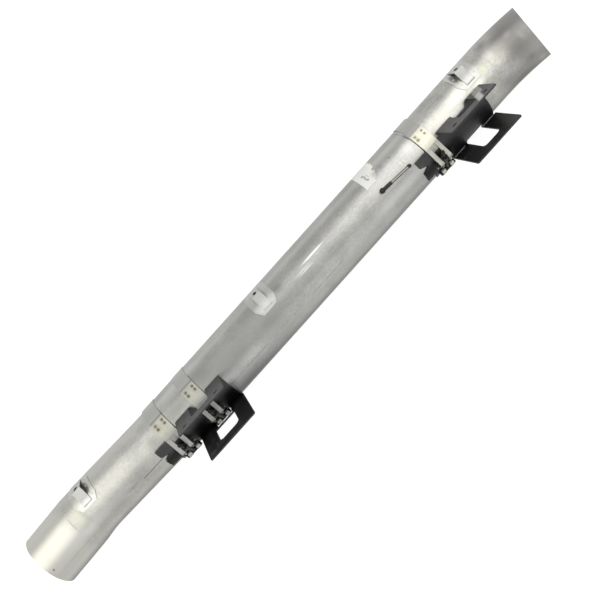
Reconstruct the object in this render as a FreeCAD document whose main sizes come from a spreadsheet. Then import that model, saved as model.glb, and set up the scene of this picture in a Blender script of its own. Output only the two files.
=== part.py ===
import FreeCAD, Part
import math
import os
from types import SimpleNamespace

import Sketcher
from FreeCAD import Placement, Rotation, Vector

# A straight engine exhaust pipe: three steel tubes joined end in end. T-bolt band clamps draw the joints
# tight and hold two folded mounting brackets. Three stand-offs carry a heat shield, beside a hanger pin.
#
# Frame: the origin is the centre of the inlet mouth, +X runs along the main tube to the outlet, and +Z is
# the side that the brackets rise from. An angle round the pipe is measured from +Z towards -Y.

# Driving dimensions, in millimetres and degrees.
SIZES = {
    # Tubes
    "main_od": 127.0,
    "tube_wall": 1.65,
    "lap_clearance": 0.15,
    "main_start": 352.0,
    "main_length": 808.0,
    "lap_length": 52.0,
    "lap_slot_length": 32.0,
    "lap_slot_width": 6.0,
    "lap_slot_step": 90.0,
    "socket_depth": 106.0,
    "socket_taper": 28.0,
    "kink_place": 150.0,
    "kink_offset": 6.3,
    "rejoin_place": 335.0,
    "kink_bend_radius": 250.0,
    "outlet_corner_from_lap": 238.0,
    "outlet_bend_radius": 254.0,
    "outlet_bend_angle": 23.3,
    "outlet_bend_turn": 20.0,
    "outlet_tail": 20.0,
    # Brackets
    "sheet": 3.0,
    "saddle_seat": 0.15,
    "saddle_from": 7.5,
    "saddle_to": 86.0,
    "lower_bracket_from_lap": 42.5,
    "upper_bracket_from_lap": 10.0,
    "flange_length": 126.5,
    "upper_saddle_short": 7.0,
    "toe_reach": 73.5,
    "toe_length": 22.0,
    "saddle_band_edge": 11.0,
    "first_toe_to": 26.5,
    "second_toe_from": 39.8,
    "second_toe_to": 61.5,
    "toe_notch_depth": 18.0,
    "ear_lean": 17.4,
    "ear_bend_radius": 4.0,
    "ear_height": 80.0,
    "ear_hole_height": 61.0,
    "ear_corner": 5.0,
    "ear_notch_width": 49.0,
    "ear_notch_height": 54.0,
    "ear_notch_corner": 6.0,
    "saddle_notch_from": 47.4,
    "saddle_notch_to": 77.2,
    "saddle_notch_mouth": 13.0,
    "band_notch_clearance": 2.0,
    "clamp_opening_from": 54.0,
    "clamp_opening_width": 42.0,
    "bolt_hole": 10.5,
    "hole_spacing": 88.0,
    "plate_lean": 21.0,
    "plate_offset": 57.3,
    "plate_height": 106.8,
    "plate_corner": 4.0,
    "plate_seat": 0.1,
    "plate_foot_depth": 2.0,
    "window_far_edge": 78.0,
    "window_corner": 10.0,
    "lower_window_width": 54.0,
    "lower_window_near_edge": 24.6,
    "upper_window_width": 46.0,
    "saddle_window_depth": 19.0,
    "band_slot_height": 21.0,
    "band_slot_width": 43.0,
    # How far a cutting tool reaches past what it cuts, as a length and as an angle round the pipe
    "cut_reach": 1.0,
    "cut_turn": 1.0,
    # Band clamps
    "band_width": 33.0,
    "band_thickness": 0.9,
    "band_seat": 0.15,
    "outer_band_from_flange": 24.5,
    "inner_band_from_flange": 65.6,
    "band_tail": 69.0,
    "first_lug_angle": 42.8,
    "first_lug_place": 76.5,
    "last_lug_angle": 75.0,
    "trunnion_radius": 5.1,
    "trunnion_length": 40.0,
    "trunnion_clearance": 0.1,
    "layer_gap": 0.05,
    "finger_slot": 14.5,
    "outer_slot_angle": 30.3,
    "inner_slot_angle": 18.9,
    "bolt_diameter": 8.0,
    "bolt_hole_clearance": 0.4,
    "bolt_past_trunnion": 36.0,
    "bolt_tip": 1.0,
    "nut_flats": 13.0,
    "nut_height": 8.0,
    "nut_collar_height": 2.4,
    "nut_collar_diameter": 10.6,
    "nut_seat": 4.6,
    # Heat-shield stand-offs
    "pad_thickness": 1.2,
    "pad_seat": 0.1,
    "pad_width": 56.0,
    "pad_from": 6.0,
    "pad_to": 76.0,
    "pad_corner_along": 9.0,
    "pad_corner_round": 15.0,
    "standoff_sheet": 2.0,
    "standoff_seat": 0.1,
    "standoff_width": 22.0,
    "standoff_foot_from": 13.0,
    "standoff_foot_to": 24.0,
    "standoff_ridge_side": 47.5,
    "standoff_ridge_rise": 59.5,
    "standoff_leg_to": 66.0,
    "standoff_hole": 9.0,
    "standoff_hole_drop": 10.0,
    "first_standoff": 157.0,
    "second_standoff_from_lap": 338.0,
    "third_standoff_from_corner": 103.0,
    # Hanger pin
    "pin_ball": 12.0,
    "pin_diameter": 6.0,
    "pin_sleeve_diameter": 8.0,
    "pin_sleeve_length": 24.0,
    "pin_end_ball": 8.0,
    "pin_start_from_lap": 147.0,
    "pin_length": 73.0,
    "pin_start_angle": 1.3,
    "pin_end_angle": 7.0,
    "pin_seat": 0.1,
}


class Size:
    """A length or angle that knows its number and the sheet expression that it comes from."""

    def __init__(self, value, text):
        self.value = value
        self.text = text

    def __float__(self):
        return float(self.value)

    def joined(self, other, sign, value):
        return Size(value, f"({self.text} {sign} {as_size(other).text})")

    def __add__(self, other):
        return self.joined(other, "+", float(self) + float(other))

    def __sub__(self, other):
        return self.joined(other, "-", float(self) - float(other))

    def __mul__(self, other):
        return self.joined(other, "*", float(self) * float(other))

    def __truediv__(self, other):
        return self.joined(other, "/", float(self) / float(other))

    def __neg__(self):
        return Size(-float(self), f"(-1 * {self.text})")

    def __radd__(self, other):
        return as_size(other) + self

    def __rsub__(self, other):
        return as_size(other) - self

    def __rmul__(self, other):
        return as_size(other) * self


def as_size(value):
    """A plain number as a Size, so that it can stand in an expression."""
    if isinstance(value, Size):
        return value
    return Size(float(value), repr(float(value)))


doc = FreeCAD.newDocument("exhaust_pipe")


def make_sheet():
    """The sheet of driving dimensions, and a namespace of the same sizes for this script."""
    sheet = doc.addObject("Spreadsheet::Sheet", "Sizes")
    for row, (alias, value) in enumerate(SIZES.items(), start=1):
        sheet.set(f"A{row}", alias)
        sheet.set(f"B{row}", str(value))
        sheet.setAlias(f"B{row}", alias)
    doc.recompute()
    return SimpleNamespace(**{alias: Size(value, f"Sizes.{alias}") for alias, value in SIZES.items()})


size = make_sheet()

# Derived sizes that several pieces share
main_radius = size.main_od / 2
main_bore_radius = main_radius - size.tube_wall
end_radius = main_bore_radius - size.lap_clearance
end_bore_radius = end_radius - size.tube_wall
main_end = size.main_start + size.main_length
outlet_corner = main_end + size.outlet_corner_from_lap
lower_bracket_place = size.main_start + size.lower_bracket_from_lap
upper_bracket_place = main_end + size.upper_bracket_from_lap
saddle_inner = main_radius + size.saddle_seat
saddle_outer = saddle_inner + size.sheet
loop_inner_radius = size.trunnion_radius + size.trunnion_clearance
loop_outer_radius = loop_inner_radius + size.band_thickness
last_lug_place = main_radius + size.band_seat + loop_outer_radius + size.layer_gap


def bind(thing, **properties):
    """Ties each property of an object to its expression in the sheet."""
    for name, value in properties.items():
        thing.setExpression(name, as_size(value).text)


def radial(angle):
    """The unit vector that points out of the pipe at an angle."""
    turn = math.radians(float(angle))
    return Vector(0, -math.sin(turn), math.cos(turn))


def tangent(angle):
    """The unit vector that runs round the pipe, towards a growing angle."""
    turn = math.radians(float(angle))
    return Vector(0, -math.cos(turn), -math.sin(turn))


def angle_of(vector):
    """The angle round the pipe that a vector points at."""
    return math.degrees(math.atan2(-vector.y, vector.z))


def around(angle, along=0.0, centre=Vector()):
    """A placement with its x axis outwards at an angle, y round the pipe and z along it."""
    turned = Rotation(radial(angle), tangent(angle), Vector(1, 0, 0), "ZXY")
    return Placement(Vector(float(along), 0, 0) + centre, turned)


def on_plane(lean, along, offset, height=0.0):
    """A placement whose x runs along the pipe and y up a plane that leans from +Z towards -Y.

    The plane lies at a distance from the pipe's axis, and its z axis points away from the axis.
    """
    turned = Rotation(Vector(1, 0, 0), radial(lean), tangent(lean), "ZXY")
    base = tangent(lean) * float(offset) + radial(lean) * float(height)
    return Placement(Vector(float(along), 0, 0) + base, turned)


def cylinder(name, radius, height, place, sweep=360):
    """A cylinder or a sector of one, bound to the sheet."""
    thing = doc.addObject("Part::Cylinder", name)
    bind(thing, Radius=radius, Height=height, Angle=sweep)
    thing.Placement = place
    return thing


def joined(name, things):
    """One solid out of several."""
    if len(things) == 1:
        return things[0]
    thing = doc.addObject("Part::MultiFuse", name)
    thing.Shapes = things
    thing.Refine = True
    return thing


def less(name, base, tools):
    """A solid without what its tools take away."""
    thing = doc.addObject("Part::Cut", name)
    thing.Base = base
    thing.Tool = joined(f"{name}_tools", tools)
    thing.Refine = True
    return thing


def shell(name, inner, outer, length, start, sweep, along, centre=Vector()):
    """A sector of a ring that runs along the pipe."""
    place = around(start, along, centre)
    rim = cylinder(f"{name}_rim", outer, length, place, sweep)
    core = cylinder(f"{name}_core", inner, length, place, sweep)
    return less(name, rim, [core])


pieces = []


def publish(thing, label):
    """Names an object as one piece of the pipe."""
    thing.Label = label
    pieces.append(thing)
    return thing


def new_body(name, place=Placement()):
    """An empty body at its place."""
    body = doc.addObject("PartDesign::Body", name)
    body.Placement = place
    return body


def new_sketch(body, name, role="XY_Plane"):
    """A sketch on one of its own body's base planes."""
    sketch = body.newObject("Sketcher::SketchObject", name)
    plane = next(item for item in body.Origin.OriginFeatures if item.Role == role)
    sketch.AttachmentSupport = [(plane, "")]
    sketch.MapMode = "FlatFace"
    return sketch


def draw_outline(sketch, corners):
    """A closed outline of straight edges, each corner held at its place by the sheet."""
    first = sketch.GeometryCount
    points = [Vector(float(across), float(up), 0) for across, up in corners]
    count = len(points)
    for index in range(count):
        sketch.addGeometry(Part.LineSegment(points[index], points[(index + 1) % count]), False)
    for index in range(count):
        following = first + (index + 1) % count
        sketch.addConstraint(Sketcher.Constraint("Coincident", first + index, 2, following, 1))
    for index, corner in enumerate(corners):
        for kind, place in zip(("DistanceX", "DistanceY"), corner):
            held = Sketcher.Constraint(kind, -1, 1, first + index, 1, float(place))
            number = sketch.addConstraint(held)
            sketch.setExpression(f"Constraints[{number}]", as_size(place).text)


def draw_circle(sketch, across, up, radius):
    """A circle with its centre and radius held by the sheet."""
    centre = Vector(float(across), float(up), 0)
    index = sketch.addGeometry(Part.Circle(centre, Vector(0, 0, 1), float(radius)), False)
    for kind, place in (("DistanceX", across), ("DistanceY", up)):
        number = sketch.addConstraint(Sketcher.Constraint(kind, -1, 1, index, 3, float(place)))
        sketch.setExpression(f"Constraints[{number}]", as_size(place).text)
    number = sketch.addConstraint(Sketcher.Constraint("Radius", index, float(radius)))
    sketch.setExpression(f"Constraints[{number}]", as_size(radius).text)


def pad(body, name, sketch, length, centred=False):
    """A pad of a sketch."""
    feature = body.newObject("PartDesign::Pad", name)
    feature.Profile = sketch
    bind(feature, Length=length)
    feature.Midplane = centred
    doc.recompute()
    return feature


def pocket(body, name, sketch):
    """A pocket that goes right through, both ways from its sketch."""
    feature = body.newObject("PartDesign::Pocket", name)
    feature.Profile = sketch
    feature.Type = 1
    feature.Midplane = True
    doc.recompute()
    return feature


def round_corners(body, name, base, corners, radius):
    """Rounds the edges of a plate that stand at the given corners."""
    wanted = [Vector(float(across), float(up), 0) for across, up in corners]
    near = 0.01
    names = []
    for number, edge in enumerate(base.Shape.Edges, start=1):
        ends = [vertex.Point for vertex in edge.Vertexes]
        flat = [Vector(end.x, end.y, 0) for end in ends]
        stands = len(ends) == 2 and flat[0].distanceToPoint(flat[1]) < near
        if stands and any(flat[0].distanceToPoint(corner) < near for corner in wanted):
            names.append(f"Edge{number}")
    feature = body.newObject("PartDesign::Fillet", name)
    feature.Base = (base, names)
    bind(feature, Radius=radius)
    doc.recompute()
    return feature


def route_bar(name, points, radius, bend_radius):
    """A round bar along straight runs, with a true bend at each inner point."""
    runs = [(points[index + 1] - points[index]).normalize() for index in range(len(points) - 1)]
    bars = []
    start = points[0]
    for index, run in enumerate(runs):
        corner = points[index + 1]
        if index + 1 < len(runs):
            turn = run.getAngle(runs[index + 1])
            reach = float(bend_radius) * math.tan(turn / 2)
            finish = corner - run * reach
        else:
            finish = corner
        bar = doc.addObject("Part::Cylinder", f"{name}_run_{index}")
        bind(bar, Radius=radius)
        bar.Height = (finish - start).Length
        bar.Placement = Placement(start, Rotation(Vector(0, 0, 1), run))
        bars.append(bar)
        if index + 1 < len(runs):
            following = runs[index + 1]
            inward = (following - run * run.dot(following)).normalize()
            axis = run.cross(inward)
            bend = doc.addObject("Part::Torus", f"{name}_bend_{index}")
            bind(bend, Radius1=bend_radius, Radius2=radius)
            bend.Angle3 = math.degrees(turn)
            turned = Rotation(-inward, run, axis, "ZXY")
            bend.Placement = Placement(finish + inward * float(bend_radius), turned)
            bars.append(bend)
            start = corner + following * reach
    return joined(name, bars)


def make_inlet_tube():
    """The first tube: a widened mouth, a slight dog-leg and an end that goes into the main tube."""
    points = [
        Vector(0, 0, 0),
        Vector(float(size.kink_place), float(size.kink_offset), 0),
        Vector(float(size.rejoin_place), 0, 0),
        Vector(float(size.main_start + size.lap_length), 0, 0),
    ]
    heading = Rotation(Vector(0, 0, 1), points[1] - points[0])
    mouth = Placement(Vector(), heading)
    taper_place = Placement(heading.multVec(Vector(0, 0, float(size.socket_depth))), heading)

    def skin(name, tube_radius, mouth_radius):
        bar = route_bar(f"{name}_route", points, tube_radius, size.kink_bend_radius)
        socket = cylinder(f"{name}_socket", mouth_radius, size.socket_depth, mouth)
        taper = doc.addObject("Part::Cone", f"{name}_taper")
        bind(taper, Radius1=mouth_radius, Radius2=tube_radius, Height=size.socket_taper)
        taper.Placement = taper_place
        return joined(name, [bar, socket, taper])

    outside = skin("inlet_outside", end_radius, main_radius)
    inside = skin("inlet_inside", end_bore_radius, main_bore_radius)
    publish(less("inlet_cut", outside, [inside]), "inlet_tube")


def make_main_tube():
    """The long straight tube, slotted at both ends so that a band can close it on the tube inside."""
    body = new_body("main_tube_body", Placement(Vector(float(size.main_start), 0, 0), Rotation()))
    ring = new_sketch(body, "main_tube_ring", "YZ_Plane")
    draw_circle(ring, 0, 0, main_radius)
    draw_circle(ring, 0, 0, main_bore_radius)
    pad(body, "main_tube_pad", ring, size.main_length)
    slots = new_sketch(body, "main_tube_slots", "XY_Plane")
    half = size.lap_slot_width / 2
    for start, finish in (
        (as_size(0), size.lap_slot_length),
        (size.main_length - size.lap_slot_length, size.main_length),
    ):
        draw_outline(slots, [(start, -half), (finish, -half), (finish, half), (start, half)])
    cut = pocket(body, "main_tube_slotting", slots)
    pattern = body.newObject("PartDesign::PolarPattern", "main_tube_slot_ring")
    pattern.Originals = [cut]
    axis = next(item for item in body.Origin.OriginFeatures if item.Role == "X_Axis")
    pattern.Axis = (axis, [""])
    bind(pattern, Angle=size.lap_slot_step)
    pattern.Occurrences = 2
    body.Tip = pattern
    publish(body, "main_tube")


def make_outlet_tube():
    """The last tube: out of the main tube, straight, then one bend up to the outlet mouth."""
    turn = math.radians(float(size.outlet_bend_angle))
    side = math.radians(float(size.outlet_bend_turn))
    heading = Vector(math.cos(turn), -math.sin(turn) * math.sin(side), math.sin(turn) * math.cos(side))
    corner = Vector(float(outlet_corner), 0, 0)
    reach = float(size.outlet_bend_radius) * math.tan(turn / 2) + float(size.outlet_tail)
    points = [Vector(float(main_end - size.lap_length), 0, 0), corner, corner + heading * reach]
    outside = route_bar("outlet_outside", points, end_radius, size.outlet_bend_radius)
    inside = route_bar("outlet_inside", points, end_bore_radius, size.outlet_bend_radius)
    publish(less("outlet_cut", outside, [inside]), "outlet_tube")


def make_saddle(name, place, opened):
    """The part of a bracket that lies on the pipe: a curved sheet with two toes under the band.

    It is open below each clamp's bolt, and notched under the ear. An opened saddle has no clamp on its
    flange but the plate's window carried on through its edge, and it ends a little short of the ear.
    """
    toe_end = place - size.toe_reach
    whole = size.toe_reach + size.flange_length
    if opened:
        whole = whole - size.upper_saddle_short
    span = size.saddle_to - size.saddle_from
    blank = shell(f"{name}_blank", saddle_inner, saddle_outer, whole, size.saddle_from, span, toe_end)
    cutters = []

    def trim(part, start, finish, length, along):
        """A sector that is taken right out of the sheet."""
        clear = size.sheet
        inner = saddle_inner - clear
        outer = saddle_outer + clear
        cutters.append(shell(f"{name}_{part}", inner, outer, length, start, finish - start, along))

    past_start = size.saddle_from - size.cut_turn
    past_end = size.saddle_to + size.cut_turn
    trim("first_side", past_start, size.saddle_band_edge, size.toe_reach, toe_end)
    trim("last_side", size.second_toe_to, past_end, size.toe_length, toe_end)
    bands = {"outer": -size.outer_band_from_flange}
    if not opened:
        bands["inner"] = size.inner_band_from_flange
    for part, centre in bands.items():
        start = place + centre - size.clamp_opening_width / 2
        trim(f"{part}_opening", size.clamp_opening_from, past_end, size.clamp_opening_width, start)
    middle = (size.first_toe_to + size.second_toe_from) / 2
    reach = float(saddle_outer + size.sheet)
    half = reach * math.tan(math.radians(float(size.second_toe_from - size.first_toe_to) / 2))
    # The notch between the toes is a wedge, seen from outside
    tip = Vector(float(toe_end + size.toe_notch_depth), 0, 0)
    mouth = Vector(float(toe_end), 0, 0)
    depth = radial(middle) * reach
    corners = [tip + depth, mouth + depth + tangent(middle) * half, mouth + depth - tangent(middle) * half]
    wedge = doc.addObject("Part::Feature", f"{name}_toe_notch")
    outline = Part.Face(Part.makePolygon(corners + [corners[0]]))
    wedge.Shape = outline.extrude(radial(middle) * -float(size.sheet * 4))
    cutters.append(wedge)
    if opened:
        width = size.upper_window_width
        start = place + (size.flange_length - width) / 2
        trim("window", size.saddle_to - size.saddle_window_depth, past_end, width, start)
    return less(f"{name}_saddle", blank, cutters)


def foot_notch(name, place, opened):
    """The tool for the notch under an ear: wide at the fold, narrower where it ends on the saddle."""
    left = size.saddle_notch_from
    if opened:
        right = size.saddle_notch_to
    else:
        right = size.inner_band_from_flange + size.band_width / 2 + size.band_notch_clearance
    ends = radial(size.saddle_band_edge) * float(saddle_outer)
    base = Vector(float(place), 0, ends.z - float(size.sheet + size.cut_reach))
    middle = float(size.flange_length / 2)
    half = float(size.ear_notch_width / 2)
    mouth = ends.y + float(size.saddle_notch_mouth)
    corners = [
        base + Vector(float(left), ends.y, 0),
        base + Vector(float(right), ends.y, 0),
        base + Vector(middle + half, mouth, 0),
        base + Vector(middle - half, mouth, 0),
    ]
    outline = Part.Face(Part.makePolygon(corners + [corners[0]]))
    height = float(saddle_outer + size.ear_bend_radius + size.sheet) - base.z
    return solid_feature(f"{name}_foot_notch", outline.extrude(Vector(0, 0, height)))


def make_ear(name, place):
    """The ear of a bracket: a leaning plate with two bolt holes and an arch at its foot for a band."""
    fold_centre = radial(size.saddle_from) * float(saddle_outer + size.ear_bend_radius)
    offset = fold_centre.dot(tangent(size.ear_lean)) - float(size.ear_bend_radius + size.sheet)
    height = fold_centre.dot(radial(size.ear_lean))
    body = new_body(f"{name}_ear", on_plane(size.ear_lean, place, offset, height))
    outline = new_sketch(body, f"{name}_ear_outline")
    middle = size.flange_length / 2
    left = middle - size.ear_notch_width / 2
    right = middle + size.ear_notch_width / 2
    draw_outline(
        outline,
        [
            (0, 0),
            (left, 0),
            (left, size.ear_notch_height),
            (right, size.ear_notch_height),
            (right, 0),
            (size.flange_length, 0),
            (size.flange_length, size.ear_height),
            (0, size.ear_height),
        ],
    )
    plate = pad(body, f"{name}_ear_plate", outline, size.sheet)
    corners = [(0, size.ear_height), (size.flange_length, size.ear_height)]
    rounded = round_corners(body, f"{name}_ear_corners", plate, corners, size.ear_corner)
    corners = [(left, size.ear_notch_height), (right, size.ear_notch_height)]
    round_corners(body, f"{name}_ear_arch", rounded, corners, size.ear_notch_corner)
    holes = new_sketch(body, f"{name}_ear_hole_places")
    for side in (-1, 1):
        across = middle + side * size.hole_spacing / 2
        draw_circle(holes, across, size.ear_hole_height, size.bolt_hole / 2)
    pocket(body, f"{name}_ear_holes", holes)
    fold_sweep = 90 + size.ear_lean - size.saddle_from
    fold = shell(
        f"{name}_fold",
        size.ear_bend_radius,
        size.ear_bend_radius + size.sheet,
        size.flange_length,
        size.saddle_from + 180,
        fold_sweep,
        place,
        fold_centre,
    )
    return [body, fold]


def make_bracket(name, place, opened):
    """A mounting bracket folded from one sheet: the saddle on the pipe and the ear along its edge."""
    saddle = make_saddle(name, place, opened)
    folded = joined(f"{name}_bracket_folded", [saddle] + make_ear(name, place))
    notched = less(f"{name}_bracket_whole", folded, [foot_notch(name, place, opened)])
    publish(notched, f"{name}_bracket")


def make_window_plate(name, place, window_width, window_from, inner_slot):
    """The flange welded to the outer edge of a saddle, with a big window.

    A slot at its foot lets the clamp on the flange through if it is asked for.
    """
    rest = float(saddle_outer + size.plate_seat)
    root = math.sqrt(rest**2 - float(size.plate_offset) ** 2)
    foot = math.sqrt(rest**2 - float(size.plate_offset + size.sheet) ** 2) - size.plate_foot_depth
    top = root + size.plate_height
    body = new_body(f"{name}_plate_body", on_plane(size.plate_lean, place, size.plate_offset))
    outline = new_sketch(body, f"{name}_plate_outline")
    draw_outline(outline, [(0, foot), (size.flange_length, foot), (size.flange_length, top), (0, top)])
    plate = pad(body, f"{name}_plate_pad", outline, size.sheet)
    corners = [(0, top), (size.flange_length, top)]
    round_corners(body, f"{name}_plate_corners", plate, corners, size.plate_corner)
    middle = size.flange_length / 2
    left = middle - window_width / 2
    right = middle + window_width / 2
    far = root + size.window_far_edge
    below = foot - size.cut_reach
    near = below if window_from is None else root + window_from
    window = new_sketch(body, f"{name}_plate_window")
    draw_outline(window, [(left, near), (right, near), (right, far), (left, far)])
    opened = pocket(body, f"{name}_plate_opening", window)
    round_corners(body, f"{name}_window_corners", opened, [(left, far), (right, far)], size.window_corner)
    if inner_slot:
        slot = new_sketch(body, f"{name}_plate_slot")
        half = size.band_slot_width / 2
        centre = size.inner_band_from_flange
        slot_top = root + size.band_slot_height
        draw_outline(
            slot,
            [
                (centre - half, below),
                (centre + half, below),
                (centre + half, slot_top),
                (centre - half, slot_top),
            ],
        )
        pocket(body, f"{name}_plate_slotting", slot)
    # The foot follows the saddle that it is welded to
    whole = size.flange_length + 2 * size.cut_reach
    core_place = around(0, place - size.cut_reach)
    core = cylinder(f"{name}_plate_rest", saddle_outer + size.plate_seat, whole, core_place)
    publish(less(f"{name}_plate_cut", body, [core]), f"{name}_window_plate")


def arc_solid(along, width, inner, outer, start, finish, centre=Vector()):
    """A bent length of strip: part of a ring from one angle to another."""
    sweep = float(finish) - float(start)
    solid = Part.makeCylinder(float(outer), float(width), Vector(), Vector(0, 0, 1), sweep)
    if float(inner) > 0:
        core = Part.makeCylinder(float(inner), float(width), Vector(), Vector(0, 0, 1), sweep)
        solid = solid.cut(core)
    solid.Placement = around(start, along, centre)
    return solid


def flat_solid(along, width, start, finish, thickness, outwards, sunk=0.0):
    """A straight length of strip between two points of its inner face, its start sunk inwards if asked."""
    shift = Vector(float(along), 0, 0)
    depth = outwards * float(thickness)
    base = start + shift
    low = base - outwards * sunk
    end = finish + shift
    outline = Part.Face(Part.makePolygon([low, end, end + depth, base + depth, low]))
    return outline.extrude(Vector(float(width), 0, 0))


def fused(solids):
    """One clean solid out of touching ones."""
    return solids[0].fuse(solids[1:]).removeSplitter()


def solid_feature(name, shape):
    """A document object that holds a shape made in this script."""
    thing = doc.addObject("Part::Feature", name)
    thing.Shape = shape
    return thing


def lug_angle(side):
    """The angle of a band's first (-1) or last (1) trunnion."""
    return float(size.first_lug_angle if side < 0 else size.last_lug_angle)


def lug_centre(side):
    """The centre of a band's first or last trunnion, across the pipe. The last one lies by the tube."""
    place = size.first_lug_place if side < 0 else last_lug_place
    return radial(lug_angle(side)) * float(place)


def band_end(start, side):
    """One end of a band: round its trunnion and back over itself as a tail.

    The first end (-1) climbs over the saddle's edge on its way. The last one (1) stays on the tube, in
    the opening of the saddle.
    """
    width = size.band_width
    strip = float(size.band_thickness)
    tube_face = float(main_radius + size.band_seat)
    loop = float(loop_outer_radius)
    centre = lug_centre(side)
    face = float(saddle_outer + size.band_seat) if side < 0 else tube_face
    inner_turn = lug_angle(side) + side * math.degrees(math.acos((face + loop) / centre.Length))
    inner_normal = radial(inner_turn)
    tail_end = lug_angle(side) + side * float(size.band_tail)

    def bent(inner, outer, one, other, about=Vector()):
        return arc_solid(start, width, inner, outer, min(one, other), max(one, other), about)

    def flat(one, other, thickness, outwards, sunk=0.0):
        return flat_solid(start, width, one, other, thickness, outwards, sunk)

    if side < 0:
        edge = float(size.saddle_band_edge)
        leaves = edge - math.degrees(math.acos(tube_face / face))
        corner = radial(edge) * face
        across = centre - corner
        outer_turn = angle_of(across) - math.degrees(math.acos((2 * strip - loop) / across.Length))
        outer_normal = radial(outer_turn)
        over = corner + outer_normal * strip
        sunk = 0.0
        solids = [
            bent(tube_face + strip / 2, tube_face + 2 * strip, tail_end, leaves),
            flat(radial(leaves) * tube_face, corner, 2 * strip, radial(leaves)),
            bent(0, 2 * strip, leaves, outer_turn, corner),
            bent(0, strip, leaves, edge, corner),
            bent(face, face + strip, edge, inner_turn),
        ]
    else:
        leaves = inner_turn
        top = tube_face + 2 * strip
        outer_turn = lug_angle(side) + math.degrees(math.acos((top - loop) / centre.Length))
        outer_normal = radial(outer_turn)
        # The tail starts a little inside the layer below, so that the two part at a clear angle
        sunk = float(size.layer_gap * 2)
        over = outer_normal * (tube_face + strip)
        solids = [bent(tube_face + strip / 2, top, tail_end, outer_turn)]
    over_loop = centre + outer_normal * (loop - strip)
    solids.append(flat(over, over_loop, strip, outer_normal, sunk))
    solids.append(flat(inner_normal * face, centre - inner_normal * loop, strip, inner_normal))
    back = inner_turn + 180
    if side > 0:
        back -= 360
    solids.append(bent(loop_inner_radius, loop, outer_turn, back, centre))
    # The slot that leaves two fingers starts further back in the outer layer than in the inner one
    outside = float(size.first_lug_place) * 2
    slot = float(size.finger_slot)
    slot_start = start + (width - size.finger_slot) / 2
    inner_from = lug_angle(side) + side * float(size.inner_slot_angle)
    outer_from = lug_angle(side) + side * float(size.outer_slot_angle)
    beyond = lug_angle(side) - side * float(size.inner_slot_angle)

    def slotting(inner, one, other):
        return arc_solid(slot_start, slot, inner, outside, min(one, other), max(one, other))

    # The outer slot stops just clear of the inner layer's face
    outer_floor = face + strip + size.layer_gap.value
    cutters = [slotting(face - strip, inner_from, beyond)]
    cutters.append(slotting(outer_floor, outer_from, inner_from))
    return solids, cutters, leaves


def make_clamp(name, centre):
    """A T-bolt band clamp: the band, its T-bolt, the cross pin that the bolt pulls on and a lock nut."""
    start = centre - size.band_width / 2
    tube_face = main_radius + size.band_seat
    strip_face = tube_face + size.band_thickness
    solids = []
    cutters = []
    leaves = []
    for side in (-1, 1):
        end_solids, end_cutters, left = band_end(start, side)
        solids += end_solids
        cutters += end_cutters
        leaves.append(left)
    ring = arc_solid(start, size.band_width, tube_face, strip_face, leaves[1], 360 + leaves[0])
    band = fused([ring] + solids).cut(cutters).removeSplitter()
    publish(solid_feature(f"{name}_band_strip", band), f"{name}_band")

    middle = Vector(float(centre), 0, 0)
    near = middle + lug_centre(-1)
    far = middle + lug_centre(1)
    pull = (near - far).normalize()
    along_bolt = Rotation(Vector(1, 0, 0), pull.cross(Vector(1, 0, 0)), pull, "ZXY")
    side_step = Vector(float(size.trunnion_length) / 2, 0, 0)
    lying = Rotation(Vector(0, 0, 1), Vector(1, 0, 0))

    def cross_bar(part, place):
        """A round bar along the pipe, centred on its place."""
        lain = Placement(place - side_step, lying)
        return cylinder(f"{name}_{part}", size.trunnion_radius, size.trunnion_length, lain)

    shank_radius = size.bolt_diameter / 2
    head = cross_bar("bolt_head", far)
    reach = (near - far).Length + size.bolt_past_trunnion - size.bolt_tip
    shank = cylinder(f"{name}_bolt_shank", shank_radius, reach, Placement(far, along_bolt))
    tip = doc.addObject("Part::Cone", f"{name}_bolt_tip")
    bind(tip, Radius1=shank_radius, Radius2=shank_radius - size.bolt_tip, Height=size.bolt_tip)
    tip.Placement = Placement(far + pull * float(reach), along_bolt)
    publish(joined(f"{name}_bolt_whole", [head, shank, tip]), f"{name}_t_bolt")

    pin = cross_bar("pin_round", near)
    bore_radius = (size.bolt_diameter + size.bolt_hole_clearance) / 2
    bore_place = Placement(near - pull * float(size.trunnion_radius * 2), along_bolt)
    bore = cylinder(f"{name}_pin_bore", bore_radius, size.trunnion_radius * 4, bore_place)
    seat = cylinder(
        f"{name}_pin_seat",
        size.finger_slot / 2,
        size.trunnion_radius,
        Placement(near + pull * float(size.nut_seat), along_bolt),
    )
    publish(less(f"{name}_pin_cut", pin, [bore, seat]), f"{name}_trunnion")

    nut = new_body(f"{name}_nut_body", Placement(near + pull * float(size.nut_seat), along_bolt))
    six = new_sketch(nut, f"{name}_nut_hexagon")
    flat = size.nut_flats / 2
    half_side = flat * math.tan(math.radians(30))
    point = half_side * 2
    draw_outline(
        six,
        [
            (flat, -half_side),
            (flat, half_side),
            (0, point),
            (-flat, half_side),
            (-flat, -half_side),
            (0, -point),
        ],
    )
    pad(nut, f"{name}_nut_pad", six, size.nut_height)
    collar = new_sketch(nut, f"{name}_nut_collar")
    draw_circle(collar, 0, 0, size.nut_collar_diameter / 2)
    pad(nut, f"{name}_nut_collar_pad", collar, size.nut_height + size.nut_collar_height)
    bore = new_sketch(nut, f"{name}_nut_bore")
    draw_circle(bore, 0, 0, bore_radius)
    pocket(nut, f"{name}_nut_boring", bore)
    publish(nut, f"{name}_lock_nut")


def moved(frame, thing):
    """Sets an object, made about the pipe's axis, into a frame of its own."""
    thing.Placement = frame.multiply(thing.Placement)
    return thing


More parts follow.
